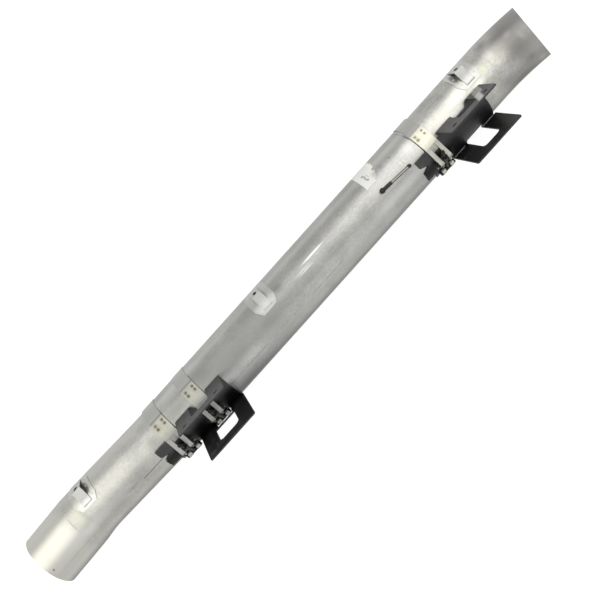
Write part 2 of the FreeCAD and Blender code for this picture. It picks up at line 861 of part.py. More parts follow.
def make_standoff(name, tube_radius, frame):
    """A stand-off for the heat shield: a doubler pad on the tube, and a folded strip with a hole on it."""
    inner = tube_radius + size.pad_seat
    outer = inner + size.pad_thickness
    sweep = size.pad_to - size.pad_from
    middle = (size.pad_from + size.pad_to) / 2
    skin = shell(f"{name}_skin", inner, outer, size.pad_width, -size.pad_to, sweep, -size.pad_width / 2)
    towards = radial(-middle)
    facing = Rotation(Vector(1, 0, 0), tangent(-middle), -towards, "ZXY")
    mould = new_body(f"{name}_mould", Placement(towards * float(tube_radius), facing))
    outline = new_sketch(mould, f"{name}_mould_outline")
    wide = size.pad_width / 2
    tall = outer * math.sin(math.radians(float(sweep) / 2))
    short = wide - size.pad_corner_along
    low = tall - size.pad_corner_round
    draw_outline(
        outline,
        [
            (-short, -tall),
            (short, -tall),
            (wide, -low),
            (wide, low),
            (short, tall),
            (-short, tall),
            (-wide, low),
            (-wide, -low),
        ],
    )
    pad(mould, f"{name}_mould_pad", outline, tube_radius, True)
    shaped = doc.addObject("Part::Common", f"{name}_pad_shape")
    shaped.Base = skin
    shaped.Tool = mould
    publish(moved(frame, shaped), f"{name}_pad")

    rest = float(outer + size.standoff_seat)
    sheet = float(size.standoff_sheet)
    start = -float(size.standoff_width) / 2
    width = size.standoff_width
    leaves = -float(size.standoff_foot_to)
    foot = radial(leaves) * rest
    ridge = Vector(0, float(size.standoff_ridge_side), float(size.standoff_ridge_rise))
    landing = radial(-float(size.standoff_leg_to)) * rest
    down = (landing - ridge).normalize()
    end = landing + down * sheet
    roof = (ridge - foot).normalize()
    roof_normal = Vector(1, 0, 0).cross(roof)
    leg_normal = Vector(1, 0, 0).cross(down)
    solids = [
        arc_solid(start, width, rest, rest + sheet, leaves, -float(size.standoff_foot_from)),
        flat_solid(start, width, foot, ridge, sheet, roof_normal),
        arc_solid(start, width, 0, sheet, angle_of(leg_normal), angle_of(roof_normal), ridge),
        flat_solid(start, width, ridge, end, sheet, leg_normal),
    ]
    hole_place = ridge + down * float(size.standoff_hole_drop) - leg_normal * sheet
    hole = Part.makeCylinder(float(size.standoff_hole) / 2, 3 * sheet, hole_place, leg_normal)
    tube = arc_solid(start, width, 0, rest, 0, 360)
    strip = fused(solids).cut([hole, tube]).removeSplitter()
    publish(moved(frame, solid_feature(f"{name}_strip", strip)), name)


def make_hanger_pin():
    """The pin on the main tube: a ball head, a sleeved neck, a thin rod and a small end ball."""
    head_radius = size.pin_ball / 2
    end_radius_small = size.pin_end_ball / 2
    rest = main_radius + size.pin_seat
    along = main_end - size.pin_start_from_lap
    start = radial(size.pin_start_angle) * float(rest + head_radius) + Vector(float(along), 0, 0)
    finish = radial(size.pin_end_angle) * float(rest + end_radius_small)
    finish += Vector(float(along + size.pin_length), 0, 0)
    lain = Placement(start, Rotation(Vector(0, 0, 1), finish - start))
    reach = (finish - start).Length
    parts = []
    for part, radius, centre in (("head", head_radius, start), ("end", end_radius_small, finish)):
        ball = doc.addObject("Part::Sphere", f"pin_{part}")
        bind(ball, Radius=radius)
        ball.Placement = Placement(centre, Rotation())
        parts.append(ball)
    parts.append(cylinder("pin_rod", size.pin_diameter / 2, reach, lain))
    parts.append(cylinder("pin_sleeve", size.pin_sleeve_diameter / 2, size.pin_sleeve_length, lain))
    publish(joined("pin_whole", parts), "hanger_pin")


def write_pieces():
    """Checks every object of the document and writes each piece to its own file."""
    doc.recompute()
    for thing in doc.Objects:
        if "Invalid" in thing.State or "Error" in thing.State:
            raise RuntimeError(f"{thing.Name} failed: {thing.State}")
    os.makedirs("parts", exist_ok=True)
    for piece in pieces:
        shape = piece.Shape
        if shape.isNull() or not shape.isValid():
            raise RuntimeError(f"{piece.Label} has no valid shape")
        shape.exportStep(f"parts/{piece.Label}.step")
        low = [f"{value:.1f}" for value in (shape.BoundBox.XMin, shape.BoundBox.YMin, shape.BoundBox.ZMin)]
        high = [f"{value:.1f}" for value in (shape.BoundBox.XMax, shape.BoundBox.YMax, shape.BoundBox.ZMax)]
        print(f"{piece.Label}: {len(shape.Solids)} solid, {shape.Volume:.0f} mm3, from {low} to {high}")


make_inlet_tube()
make_main_tube()
make_outlet_tube()
make_bracket("lower", lower_bracket_place, False)
make_bracket("upper", upper_bracket_place, True)
lower_window = (size.lower_window_width, size.lower_window_near_edge)
make_window_plate("lower", lower_bracket_place, *lower_window, True)
make_window_plate("upper", upper_bracket_place, size.upper_window_width, None, False)
make_clamp("inlet_joint", lower_bracket_place - size.outer_band_from_flange)
make_clamp("bracket", lower_bracket_place + size.inner_band_from_flange)
make_clamp("outlet_joint", upper_bracket_place - size.outer_band_from_flange)

# The first stand-off follows the leg of the dog-leg that it stands on
leg = Vector(float(size.rejoin_place - size.kink_place), -float(size.kink_offset), 0)
from_kink = float(size.first_standoff - size.kink_place) / leg.x
first_place = Vector(float(size.kink_place), float(size.kink_offset), 0) + leg * from_kink
make_standoff("inlet_standoff", end_radius, Placement(first_place, Rotation(Vector(1, 0, 0), leg)))
middle_along = float(size.main_start + size.second_standoff_from_lap)
middle_place = Placement(Vector(middle_along, 0, 0), Rotation())
make_standoff("middle_standoff", main_radius, middle_place)
outlet_along = float(outlet_corner - size.third_standoff_from_corner)
outlet_place = Placement(Vector(outlet_along, 0, 0), Rotation())
make_standoff("outlet_standoff", end_radius, outlet_place)
make_hanger_pin()
write_pieces()
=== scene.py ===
"""Dresses the exhaust pipe: camera and studio first, then the tubes, clamps, brackets, stand-offs and label.

The frame is the model's own: the origin is the centre of the inlet mouth, +X runs along the main tube and +Z
is the side that the brackets rise from. An angle round the pipe is measured from +Z towards -Y, in degrees.
Lengths are in metres, and sizes that are quoted in millimetres are multiplied by MM.
"""

import logging
import math
from dataclasses import dataclass
from enum import Enum

import bmesh
import bpy
from mathutils import Matrix, Vector


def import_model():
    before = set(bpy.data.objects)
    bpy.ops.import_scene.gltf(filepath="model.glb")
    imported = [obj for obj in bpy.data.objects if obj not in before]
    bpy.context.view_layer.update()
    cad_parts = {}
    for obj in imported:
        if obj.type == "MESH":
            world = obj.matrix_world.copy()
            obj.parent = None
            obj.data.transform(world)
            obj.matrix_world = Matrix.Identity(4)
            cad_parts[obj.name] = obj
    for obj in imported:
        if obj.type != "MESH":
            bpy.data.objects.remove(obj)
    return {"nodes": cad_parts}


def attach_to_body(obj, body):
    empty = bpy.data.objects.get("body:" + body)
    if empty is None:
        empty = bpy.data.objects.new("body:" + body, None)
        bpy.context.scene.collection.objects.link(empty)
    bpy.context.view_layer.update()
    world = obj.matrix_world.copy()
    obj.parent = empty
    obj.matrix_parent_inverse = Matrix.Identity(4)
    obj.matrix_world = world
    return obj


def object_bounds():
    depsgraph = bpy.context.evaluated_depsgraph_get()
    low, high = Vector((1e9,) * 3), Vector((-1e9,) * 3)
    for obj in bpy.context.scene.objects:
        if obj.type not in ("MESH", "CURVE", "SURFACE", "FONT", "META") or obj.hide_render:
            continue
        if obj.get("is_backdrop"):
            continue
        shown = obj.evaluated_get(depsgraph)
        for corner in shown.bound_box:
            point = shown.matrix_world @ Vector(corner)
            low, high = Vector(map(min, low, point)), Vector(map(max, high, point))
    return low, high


MM = 0.001
Colour = tuple[float, float, float]
log = logging.getLogger("exhaust_pipe")

# The pipe's own sizes that more than one class needs
MAIN_RADIUS = 63.5 * MM
END_RADIUS = 61.7 * MM
PAD_SHEET = 1.3 * MM
SADDLE_OUTER = 66.65 * MM
TAIL_OUTER = 65.45 * MM
PIPE_LENGTH = 1490 * MM

# The spot welds on a clamp's tail: millimetres to each side of its middle, first angle and step round
SPOT_WELD_SIDE = 9.5
SPOT_WELD_ANGLE = -19.2
SPOT_WELD_STEP = 7.6

# Places along the pipe, in millimetres
CLAMPS = {"inlet_joint": 370.0, "bracket": 460.1, "outlet_joint": 1145.5}
STAND_OFFS = {"inlet_standoff": 157.0, "middle_standoff": 690.0, "outlet_standoff": 1295.0}


def radial(angle: float) -> Vector:
    """Gives the unit vector that points out of the pipe at an angle."""
    turn = math.radians(angle)
    return Vector((0.0, -math.sin(turn), math.cos(turn)))


def tangent(angle: float) -> Vector:
    """Gives the unit vector that runs round the pipe, towards a growing angle."""
    turn = math.radians(angle)
    return Vector((0.0, -math.cos(turn), -math.sin(turn)))


def on_pipe(along: float, angle: float, radius: float) -> Vector:
    """Gives the point at a place along a tube, an angle round it and a distance from its axis."""
    return Vector((along, 0.0, 0.0)) + radial(angle) * radius


def add_object(name: str, data: bpy.types.ID) -> bpy.types.Object:
    """Makes an object and puts it in the scene.

    Args:
        name: The object's name.
        data: Its mesh, lamp or camera.

    Returns:
        The object.
    """
    thing = bpy.data.objects.new(name, data)
    bpy.context.scene.collection.objects.link(thing)
    return thing


class NodeWork:
    """A short hand for filling one node tree."""

    def __init__(self, tree: bpy.types.NodeTree) -> None:
        """Takes the tree that the nodes go into."""
        self.tree = tree

    def add(self, kind: str, **settings: object) -> bpy.types.Node:
        """Adds a node.

        Args:
            kind: The node's type name.
            settings: Attributes to set on it.

        Returns:
            The new node.
        """
        node = self.tree.nodes.new(kind)
        for name, value in settings.items():
            setattr(node, name, value)
        return node

    def feed(self, socket: bpy.types.NodeSocket, value: object) -> None:
        """Links a socket to another one, or sets its value.

        Args:
            socket: The input to fill.
            value: An output socket, a number, a colour or a vector.
        """
        if isinstance(value, bpy.types.NodeSocket):
            self.tree.links.new(value, socket)
        elif isinstance(value, tuple) and len(value) == 3 and len(socket.default_value) == 4:
            socket.default_value = (*value, 1.0)
        else:
            socket.default_value = value

    def filled(self, node: bpy.types.Node, *values: object) -> bpy.types.NodeSocket:
        """Fills a node's inputs.

        Args:
            node: The node.
            values: Its inputs in order.

        Returns:
            The node's first output.
        """
        for socket, value in zip(node.inputs, values):
            self.feed(socket, value)
        return node.outputs[0]

    def math(self, operation: str, *values: object) -> bpy.types.NodeSocket:
        """Adds a Math node with its inputs in order, and gives the result."""
        return self.filled(self.add("ShaderNodeMath", operation=operation), *values)

    def times(self, product: object, *factors: object) -> object:
        """Multiplies values with one another.

        Args:
            product: The first value.
            factors: The others.

        Returns:
            The product.
        """
        for factor in factors:
            product = self.math("MULTIPLY", product, factor)
        return product

    def more(self, value: object, factor: object, start: object) -> bpy.types.NodeSocket:
        """Adds a value times a factor to a start."""
        return self.math("MULTIPLY_ADD", value, factor, start)

    def swing(self, noise: object, amount: object, middle: float = 1.0) -> bpy.types.NodeSocket:
        """Spreads a noise about a middle value, by an amount."""
        return self.more(self.math("SUBTRACT", noise, 0.5), amount, middle)

    def blend(self, factor: object, one: object, other: object) -> bpy.types.NodeSocket:
        """Adds a colour Mix node.

        Args:
            factor: How much of the other colour.
            one: The first colour.
            other: The other colour.

        Returns:
            The mixed colour.
        """
        node = self.add("ShaderNodeMix", data_type="RGBA", blend_type="MIX", clamp_factor=True)
        for number, value in ((0, factor), (6, one), (7, other)):
            self.feed(node.inputs[number], value)
        return node.outputs[2]

    def fit(self, value: object, low: object, high: float, start: float = 0.0, end: float = 1.0) -> object:
        """Maps a value, so that low gives start and high gives end, with smooth ends."""
        node = self.add("ShaderNodeMapRange", interpolation_type="SMOOTHSTEP")
        return self.filled(node, value, low, high, start, end)

    def between(self, value: object, low: float, high: float, softness: float) -> object:
        """Makes a mask that is 1 between two values.

        Args:
            value: The value that is tested.
            low: The lower one of the two.
            high: The higher one.
            softness: How far inside them the mask fades.

        Returns:
            The mask.
        """
        rises = self.fit(value, low, low + softness)
        falls = self.fit(value, high - softness, high, 1.0, 0.0)
        return self.times(rises, falls)

    def scaled(self, vector: object, factors: object) -> bpy.types.NodeSocket:
        """Multiplies a vector part by part."""
        return self.filled(self.add("ShaderNodeVectorMath", operation="MULTIPLY"), vector, factors)

    def split(self, vector: object) -> bpy.types.NodeOutputs:
        """Gives a vector's parts, as X, Y and Z."""
        return self.filled(self.add("ShaderNodeSeparateXYZ"), vector).node.outputs

    def join(self, *parts: object) -> bpy.types.NodeSocket:
        """Makes a vector of its parts."""
        return self.filled(self.add("ShaderNodeCombineXYZ"), *parts)

    def noise(self, vector: object, scale: object, detail: float = 3.0, roughness: float = 0.5) -> object:
        """Adds a Noise Texture node.

        Args:
            vector: Where it is read.
            scale: Its scale.
            detail: How many finer layers it has.
            roughness: How strong the finer layers are.

        Returns:
            The noise, about 0.5 on average.
        """
        node = self.add("ShaderNodeTexNoise")
        for label, value in (("Vector", vector), ("Scale", scale), ("Detail", detail), ("Roughness", roughness)):
            self.feed(node.inputs[label], value)
        return node.outputs["Fac"]

    def group(self, tree: bpy.types.NodeTree, **values: object) -> bpy.types.NodeOutputs:
        """Adds a node group.

        Args:
            tree: The group.
            values: Its inputs by name, with _ for a space.

        Returns:
            The group's outputs.
        """
        node = self.add("ShaderNodeGroup", node_tree=tree)
        for name, value in values.items():
            self.feed(node.inputs[name.replace("_", " ")], value)
        return node.outputs


class Direction(Enum):
    """The way that a metal's grain runs."""

    ALONG = (6.0, 420.0, 420.0)
    SHORT = (170.0, 230.0, 230.0)
    AROUND = (420.0, 14.0, 14.0)
    NONE = (160.0, 160.0, 160.0)


class SharedEffects:
    """The shader node groups that more than one finish uses, each built once."""

    VECTORS = ("Vector", "Stretch")

    def __init__(self) -> None:
        """Builds the groups."""
        self.grain = self._grain()
        self.blotches = self._blotches()
        self.pipe_place = self._pipe_place()
        self.spot = self._spot()

    def _new(self, name: str, inputs: tuple[str, ...], outputs: tuple[str, ...]) -> tuple:
        """Starts a group. Its inputs and outputs are numbers, apart from the vectors.

        Args:
            name: The group's name.
            inputs: Its inputs' names.
            outputs: Its outputs' names.

        Returns:
            The tree, its node work, what it is given and the result to feed.
        """
        tree = bpy.data.node_groups.new(name, "ShaderNodeTree")
        for way, labels in (("INPUT", inputs), ("OUTPUT", outputs)):
            for label in labels:
                kind = "NodeSocketVector" if label in self.VECTORS else "NodeSocketFloat"
                tree.interface.new_socket(label, in_out=way, socket_type=kind)
        work = NodeWork(tree)
        return tree, work, work.add("NodeGroupInput").outputs, work.add("NodeGroupOutput").inputs

    def _grain(self) -> bpy.types.NodeTree:
        """Builds the fine grain of drawn or brushed metal.

        Returns:
            A group that gives a shade about 1 and a height from 0 to 1.
        """
        names = ("Vector", "Stretch", "Contrast")
        tree, work, given, result = self._new("metal grain", names, ("Shade", "Height"))
        grain = work.noise(work.scaled(given["Vector"], given["Stretch"]), 1.0, detail=4.0, roughness=0.65)
        work.feed(result["Shade"], work.swing(grain, given["Contrast"]))
        work.feed(result["Height"], grain)
        return tree

    def _blotches(self) -> bpy.types.NodeTree:
        """Builds the broad uneven tone of handled metal or paint.

        Returns:
            A group that gives a shade about 1 and a mask of the strongest marks.
        """
        names = ("Vector", "Scale", "Contrast")
        tree, work, given, result = self._new("handling marks", names, ("Shade", "Marks"))
        broad = work.noise(given["Vector"], given["Scale"], detail=4.0, roughness=0.55)
        fine = work.noise(given["Vector"], work.times(given["Scale"], 7.0), detail=3.0, roughness=0.6)
        work.feed(result["Shade"], work.swing(broad, given["Contrast"]))
        work.feed(result["Marks"], work.fit(work.times(fine, broad), 0.3, 0.42))
        return tree

    def _pipe_place(self) -> bpy.types.NodeTree:
        """Builds the two places on the pipe: along it in metres and round it in degrees.

        Returns:
            A group that turns a vector into the two places.
        """
        tree, work, given, result = self._new("place on the pipe", ("Vector",), ("Along", "Angle"))
        parts = work.split(given["Vector"])
        turn = work.math("ARCTAN2", work.times(parts["Y"], -1.0), parts["Z"])
        work.feed(result["Along"], parts["X"])
        work.feed(result["Angle"], work.math("DEGREES", turn))
        return tree

    def _spot(self) -> bpy.types.NodeTree:
        """Builds a soft oval mark about a place on the pipe.

        Returns:
            A group that gives a mask, 1 in the middle of the mark and 0 outside it.
        """
        names = ("Along", "Angle", "Centre Along", "Centre Angle", "Reach Along", "Reach Angle", "Softness")
        tree, work, given, result = self._new("mark on the pipe", names, ("Mask",))
        squares = []
        for way in ("Along", "Angle"):
            away = work.math("SUBTRACT", given[way], given[f"Centre {way}"])
            share = work.math("DIVIDE", away, given[f"Reach {way}"])
            squares.append(work.times(share, share))
        distance = work.math("SQRT", work.math("ADD", *squares))
        inner = work.math("SUBTRACT", 1.0, given["Softness"])
        work.feed(result["Mask"], work.fit(distance, inner, 1.0, 1.0, 0.0))
        return tree


@dataclass(frozen=True)
class Mark:
    """A soft oval mark on a tube, such as heat tint or a smudge, that may lean like a slanted cut."""

    along: float
    angle: float
    reach_along: float
    reach_angle: float
    colour: Colour
    strength: float = 0.6
    softness: float = 0.8
    lean: float = 0.0


def marks_at(*rows: tuple) -> tuple[Mark, ...]:
    """Turns rows of a mark's values into marks, the two lengths among them from millimetres."""
    return tuple(Mark(along * MM, angle, reach * MM, *rest) for along, angle, reach, *rest in rows)


@dataclass(frozen=True)
class Coat:
    """A material in the making: its nodes, its shader, its object coordinates and the shared effects."""

    work: NodeWork
    shader: bpy.types.Node
    place: bpy.types.NodeSocket
    effects: SharedEffects

    def put(self, name: str, value: object) -> None:
        """Feeds one of the shader's inputs."""
        self.work.feed(self.shader.inputs[name], value)

    def grain(self, direction: Direction, contrast: float) -> bpy.types.NodeOutputs:
        """Adds the metal grain."""
        return self.work.group(self.effects.grain, Vector=self.place, Stretch=direction.value, Contrast=contrast)

    def blotches(self, scale: float, contrast: float) -> bpy.types.NodeOutputs:
        """Adds the handling marks."""
        return self.work.group(self.effects.blotches, Vector=self.place, Scale=scale, Contrast=contrast)

    def pipe(self) -> bpy.types.NodeOutputs:
        """Adds the place on the pipe."""
        return self.work.group(self.effects.pipe_place, Vector=self.place)

    def from_axis(self) -> bpy.types.NodeSocket:
        """Gives the distance from the pipe's axis."""
        node = self.work.add("ShaderNodeVectorMath", operation="LENGTH")
        return self.work.filled(node, self.work.scaled(self.place, (0.0, 1.0, 1.0))).node.outputs["Value"]

    def shaded(self, colour: object, shade: object) -> bpy.types.NodeSocket:
        """Multiplies a colour by a shade.

        Args:
            colour: The colour.
            shade: The shade, about 1.

        Returns:
            The shaded colour.
        """
        mixer = self.work.add("ShaderNodeVectorMath", operation="SCALE")
        self.work.feed(mixer.inputs[0], colour)
        self.work.feed(mixer.inputs["Scale"], shade)
        return mixer.outputs[0]

    def marked(self, colour: object, marks: tuple[Mark, ...]) -> object:
        """Lays marks over a colour.

        Args:
            colour: The colour under the marks.
            marks: The marks, the lowest first.

        Returns:
            The marked colour.
        """
        work, pipe = self.work, self.pipe()
        for mark in marks:
            away = work.math("SUBTRACT", pipe["Angle"], mark.angle)
            spot = work.group(
                self.effects.spot,
                Along=work.math("ADD", pipe["Along"], work.times(away, away, mark.lean)),
                Angle=pipe["Angle"],
                Centre_Along=mark.along,
                Centre_Angle=mark.angle,
                Reach_Along=mark.reach_along,
                Reach_Angle=mark.reach_angle,
                Softness=mark.softness,
            )
            colour = work.blend(work.times(spot["Mask"], mark.strength), colour, mark.colour)
        return colour

    def bump(self, height: object, strength: float, distance: float) -> None:
        """Raises the surface.

        Args:
            height: The height, from 0 to 1.
            strength: How strongly it shows.
            distance: How far a height of 1 rises.
        """
        node = self.work.add("ShaderNodeBump")
        for label, value in (("Strength", strength), ("Distance", distance), ("Height", height)):
            self.work.feed(node.inputs[label], value)
        self.put("Normal", node.outputs["Normal"])


@dataclass(frozen=True)
class Finish:
    """What every finish has: a name, a colour and a roughness."""

    name: str
    colour: Colour
    roughness: float

    def build(self, effects: SharedEffects) -> bpy.types.Material:
        """Builds the material.

        Args:
            effects: The shared node groups.

        Returns:
            The material.
        """
        material = bpy.data.materials.new(self.name)
        material.use_nodes = True
        material.diffuse_color = (*self.colour, 1.0)
        work = NodeWork(material.node_tree)
        place = work.add("ShaderNodeTexCoord").outputs["Object"]
        coat = Coat(work, material.node_tree.nodes["Principled BSDF"], place, effects)
        coat.put("Base Color", self.colour)
        coat.put("Roughness", self.roughness)
        self.lay(coat)
        return material

    def lay(self, coat: Coat) -> None:
        """Lays the nodes of the finish, which each kind of finish does in its own way."""
        raise NotImplementedError(coat.shader.name)


@dataclass(frozen=True)
class TubeFinish(Finish):
    """Bare tube steel: drawn along the pipe, unevenly handled, with its marks and a seam where one is given."""

    seam_angle: float = 33.0
    seam_from: float = 0.0
    seam_to: float = 0.0
    seam_break: float = 0.5
    seam_depth: float = 0.4
    marks: tuple[Mark, ...] = ()
    streaks: float = 0.30
    mottle: float = 0.55
    speckle: float = 0.5
    # How dark the painted shade on the far side gets
    far_side_shade: float = 0.44

    def lay(self, coat: Coat) -> None:
        """Lays the grain, the drawn bands, the seam and the marks.

        Args:
            coat: The material in the making.
        """
        work, pipe = coat.work, coat.pipe()
        coat.put("Metallic", 1.0)
        coat.put("Specular Tint", (0.82, 0.82, 0.82))
        grain = coat.grain(Direction.ALONG, contrast=0.24)
        short = coat.grain(Direction.SHORT, contrast=self.speckle)
        blotches = coat.blotches(scale=20.0, contrast=self.mottle)
        # Soft axial bands that come from the drawing of the tube
        bands = work.noise(work.scaled(coat.place, (1.6, 26.0, 26.0)), 1.0, detail=2.0)
        seam = self._seam(coat, pipe)
        uneven = work.times(grain["Shade"], blotches["Shade"], work.swing(bands, self.streaks), short["Shade"])
        shade = work.times(uneven, work.more(seam, -self.seam_depth, 1.0))
        # Painted shade: the side away from the lamps, towards the floor, is darkened in the colour
        far_shade_factor = work.math(
            "MAXIMUM",
            work.fit(pipe["Angle"], 50.0, 82.0, 1.0, self.far_side_shade),
            work.fit(pipe["Angle"], 92.0, 130.0, self.far_side_shade, 1.0),
        )
        coat.put("Base Color", coat.shaded(coat.marked(coat.shaded(self.colour, shade), self.marks), far_shade_factor))
        coat.put("Roughness", work.more(blotches["Marks"], 0.05, work.swing(bands, 0.10, self.roughness)))
        height = work.math("SUBTRACT", grain["Height"], work.times(seam, 3.0))
        coat.bump(height, strength=0.10, distance=0.05 * MM)

    def _seam(self, coat: Coat, pipe: bpy.types.NodeOutputs) -> object:
        """Makes the mask of the tube's own long weld seam, broken up along its length.

        Args:
            coat: The material in the making.
            pipe: The place on the pipe.

        Returns:
            The mask.
        """
        work = coat.work
        away = work.math("ABSOLUTE", work.math("SUBTRACT", pipe["Angle"], self.seam_angle))
        line = work.fit(away, 0.35, 1.1, 1.0, 0.0)
        lasts = work.between(pipe["Along"], self.seam_from, self.seam_to, 8 * MM)
        uneven = work.noise(work.scaled(coat.place, (22.0, 2.0, 2.0)), 1.0)
        return work.times(line, lasts, work.fit(uneven, self.seam_break - 0.1, self.seam_break))


@dataclass(frozen=True)
class StripFinish(Finish):
    """Bright rolled or pressed steel, for straps, pads, stand-offs and welds."""

    direction: Direction = Direction.NONE
    tint: Colour = (0.5, 0.47, 0.38)
    tint_amount: float = 0.3
    marks: tuple[Mark, ...] = ()

    def lay(self, coat: Coat) -> None:
        """Lays the grain, the tint and the marks.

        Args:
            coat: The material in the making.
        """
        work = coat.work
        coat.put("Metallic", 1.0)
        grain = coat.grain(self.direction, contrast=0.14)
        blotches = coat.blotches(scale=70.0, contrast=0.5)
        steel = coat.shaded(self.colour, work.times(grain["Shade"], blotches["Shade"]))
        tinted = work.blend(work.times(blotches["Marks"], self.tint_amount), steel, self.tint)
        coat.put("Base Color", self.over(coat, coat.marked(tinted, self.marks)))
        coat.put("Roughness", work.more(blotches["Marks"], 0.12, self.roughness))
        coat.bump(grain["Height"], strength=0.15, distance=0.05 * MM)

    def over(self, coat: Coat, colour: object) -> object:
        """Gives what lies over the strip's own colour: nothing, on a plain strip."""
        return colour


@dataclass(frozen=True)
class BandFinish(StripFinish):
    """The strap of a clamp: its outer layer is paler than the ring, which looks like the tube."""

    direction: Direction = Direction.AROUND
    ring_colour: Colour = (0.335, 0.333, 0.32)
    ring_radius: float = 65.0 * MM
    finger_shade: float = 1.1
    # Painted shadow along the tail's edge, on the ring
    edge_shadows: tuple[Mark, ...] = ()

    def over(self, coat: Coat, colour: object) -> object:
        """Shades the fingers, shows the ring inside the strap and lays the painted shadow along the tail's edge.

        Args:
            coat: The material in the making.
            colour: The strap's colour.

        Returns:
            The clamp's colour.
        """
        work, soft = coat.work, 0.05 * MM
        outer = work.fit(coat.from_axis(), self.ring_radius - soft, self.ring_radius + soft)
        fingers = work.fit(coat.pipe()["Angle"], 2.0, 16.0, 1.0, self.finger_shade)
        return coat.marked(work.blend(outer, self.ring_colour, coat.shaded(colour, fingers)), self.edge_shadows)


@dataclass(frozen=True)
class PinFinish(StripFinish):
    """The pin's steel: dark and matt at the head, sleeve and end ball, brighter on the thin rod, which carries a
    painted highlight along its top.
    """

    direction: Direction = Direction.ALONG
    rod_colour: Colour = (0.24, 0.24, 0.225)
    rod_from: float = 1037 * MM
    rod_to: float = 1082 * MM

    def over(self, coat: Coat, colour: object) -> object:
        """Paints a highlight on the rod's upper side.

        Args:
            coat: The material in the making.
            colour: The dark colour of the head, sleeve and ball.

        Returns:
            The pin's colour.
        """
        work = coat.work
        on_rod = work.between(coat.pipe()["Along"], self.rod_from, self.rod_to, 1 * MM)
        facing = work.split(work.add("ShaderNodeTexCoord").outputs["Normal"])
        # Painted highlight: the rod's upward-facing side is lighter
        painted_highlight = work.fit(facing["Z"], 0.72, 0.9, 0.12, 1.0)
        return work.blend(work.times(on_rod, painted_highlight), colour, self.rod_colour)


@dataclass(frozen=True)
class ReflectionPatch:
    """A soft-edged patch of painted reflection, laid as bare metal on the paint, between two places and two
    heights.

    The two places are the ones at the axis's height. They slide towards the inlet as the height grows. All
    lengths are in millimetres.
    """

    along: tuple[float, float]
    heights: tuple[float, float]
    colour: Colour
    strength: float
    sides: tuple[float, float] = (-80, 30)
    softness: float = 5
    slant: float = 0.304

    def mask(self, coat: Coat) -> object:
        """Makes the patch's mask.

        Args:
            coat: The material in the making.

        Returns:
            The mask.
        """
        mask = self.strength
        work, parts = coat.work, coat.work.split(coat.place)
        slid = work.more(parts["Z"], self.slant, parts["X"])
        for place, (low, high) in zip((slid, parts["Y"], parts["Z"]), (self.along, self.sides, self.heights)):
            mask = work.times(work.between(place, low * MM, high * MM, self.softness * MM), mask)
        return mask


@dataclass(frozen=True)
class PaintFinish(Finish):
    """Satin black paint on folded sheet: slightly pebbled, dusty, darker low on the saddle, with painted
    reflection patches.
    """

    dust: Colour = (0.13, 0.13, 0.125)
    low_side_colour: Colour = (0.018, 0.018, 0.018)
    patches: tuple[ReflectionPatch, ...] = ()

    def lay(self, coat: Coat) -> None:
        """Lays the pebbled paint, then the darker low side and the painted reflection patches over it.

        Args:
            coat: The material in the making.
        """
        work = coat.work
        blotches = coat.blotches(scale=28.0, contrast=0.7)
        pebble = coat.grain(Direction.NONE, contrast=0.2)
        paint = coat.shaded(self.colour, work.times(blotches["Shade"], pebble["Shade"]))
        # The darker low side is laid as a dark metal, which keeps its gloss as low as its colour
        metal = self._low_side_mask(coat)
        colour = work.blend(metal, work.blend(work.times(blotches["Marks"], 0.35), paint, self.dust), self.low_side_colour)
        # The painted reflection patches, laid as metal
        for patch in self.patches:
            mask = patch.mask(coat)
            colour = work.blend(mask, colour, patch.colour)
            metal = work.math("MAXIMUM", metal, mask)
        coat.put("Base Color", colour)
        coat.put("Metallic", metal)
        coat.put("Roughness", work.more(blotches["Marks"], 0.2, self.roughness))
        coat.bump(pebble["Height"], strength=0.25, distance=0.15 * MM)

    def _low_side_mask(self, coat: Coat) -> object:
        """Makes the mask of the saddle's darker, less glossy side, low on the tube.

        Args:
            coat: The material in the making.

        Returns:
            The mask.
        """
        work, pipe = coat.work, coat.pipe()
        on_tube = work.fit(coat.from_axis(), 68.5 * MM, 70.5 * MM, 1.0, 0.0)
        low = work.fit(pipe["Angle"], 27.0, 42.0)
        # The upper bracket's saddle darkens less behind its band
        behind_band = work.fit(pipe["Along"], 1165 * MM, 1175 * MM, 1.0, 0.35)
        return work.times(on_tube, low, behind_band)


@dataclass(frozen=True)
class OxideFinish(Finish):
    """Black oxide on the fasteners, with the bolt's thread as fine ridges where asked for."""

    thread_pitch: float = 0.0
    bolt_angle: float = 68.0

    def lay(self, coat: Coat) -> None:
        """Lays the uneven oxide, and the thread across the bolt.

        Args:
            coat: The material in the making.
        """
        work = coat.work
        coat.put("Metallic", 0.6)
        coat.put("Specular IOR Level", 0.2)
        blotches = coat.blotches(scale=90.0, contrast=0.6)
        coat.put("Base Color", coat.shaded(self.colour, blotches["Shade"]))
        coat.put("Roughness", work.more(blotches["Marks"], 0.15, self.roughness))
        height, distance = blotches["Shade"], 0.1 * MM
        if self.thread_pitch > 0:
            reach = work.add("ShaderNodeVectorMath", operation="DOT_PRODUCT")
            work.feed(reach.inputs[0], coat.place)
            work.feed(reach.inputs[1], tuple(tangent(self.bolt_angle)))
            turns = work.times(reach.outputs["Value"], math.tau / self.thread_pitch)
            height, distance = work.math("SINE", turns), 0.3 * MM
        coat.bump(height, strength=0.5, distance=distance)


@dataclass(frozen=True)
class PaperFinish(Finish):
    """White label paper, creased and a little yellowed towards one end."""

    stain: Colour = (0.84, 0.82, 0.70)
    stain_from: float = 1024 * MM
    stain_to: float = 1040 * MM
    marks: tuple[Mark, ...] = ()

    def lay(self, coat: Coat) -> None:
        """Lays the paper, its stain and its smudges.

        Args:
            coat: The material in the making.
        """
        work = coat.work
        blotches = coat.blotches(scale=60.0, contrast=0.10)
        aged = work.fit(coat.pipe()["Along"], self.stain_from, self.stain_to, 0.0, 0.8)
        colour = work.blend(aged, coat.shaded(self.colour, blotches["Shade"]), self.stain)
        coat.put("Base Color", coat.marked(colour, self.marks))
        coat.bump(blotches["Shade"], strength=0.3, distance=0.3 * MM)


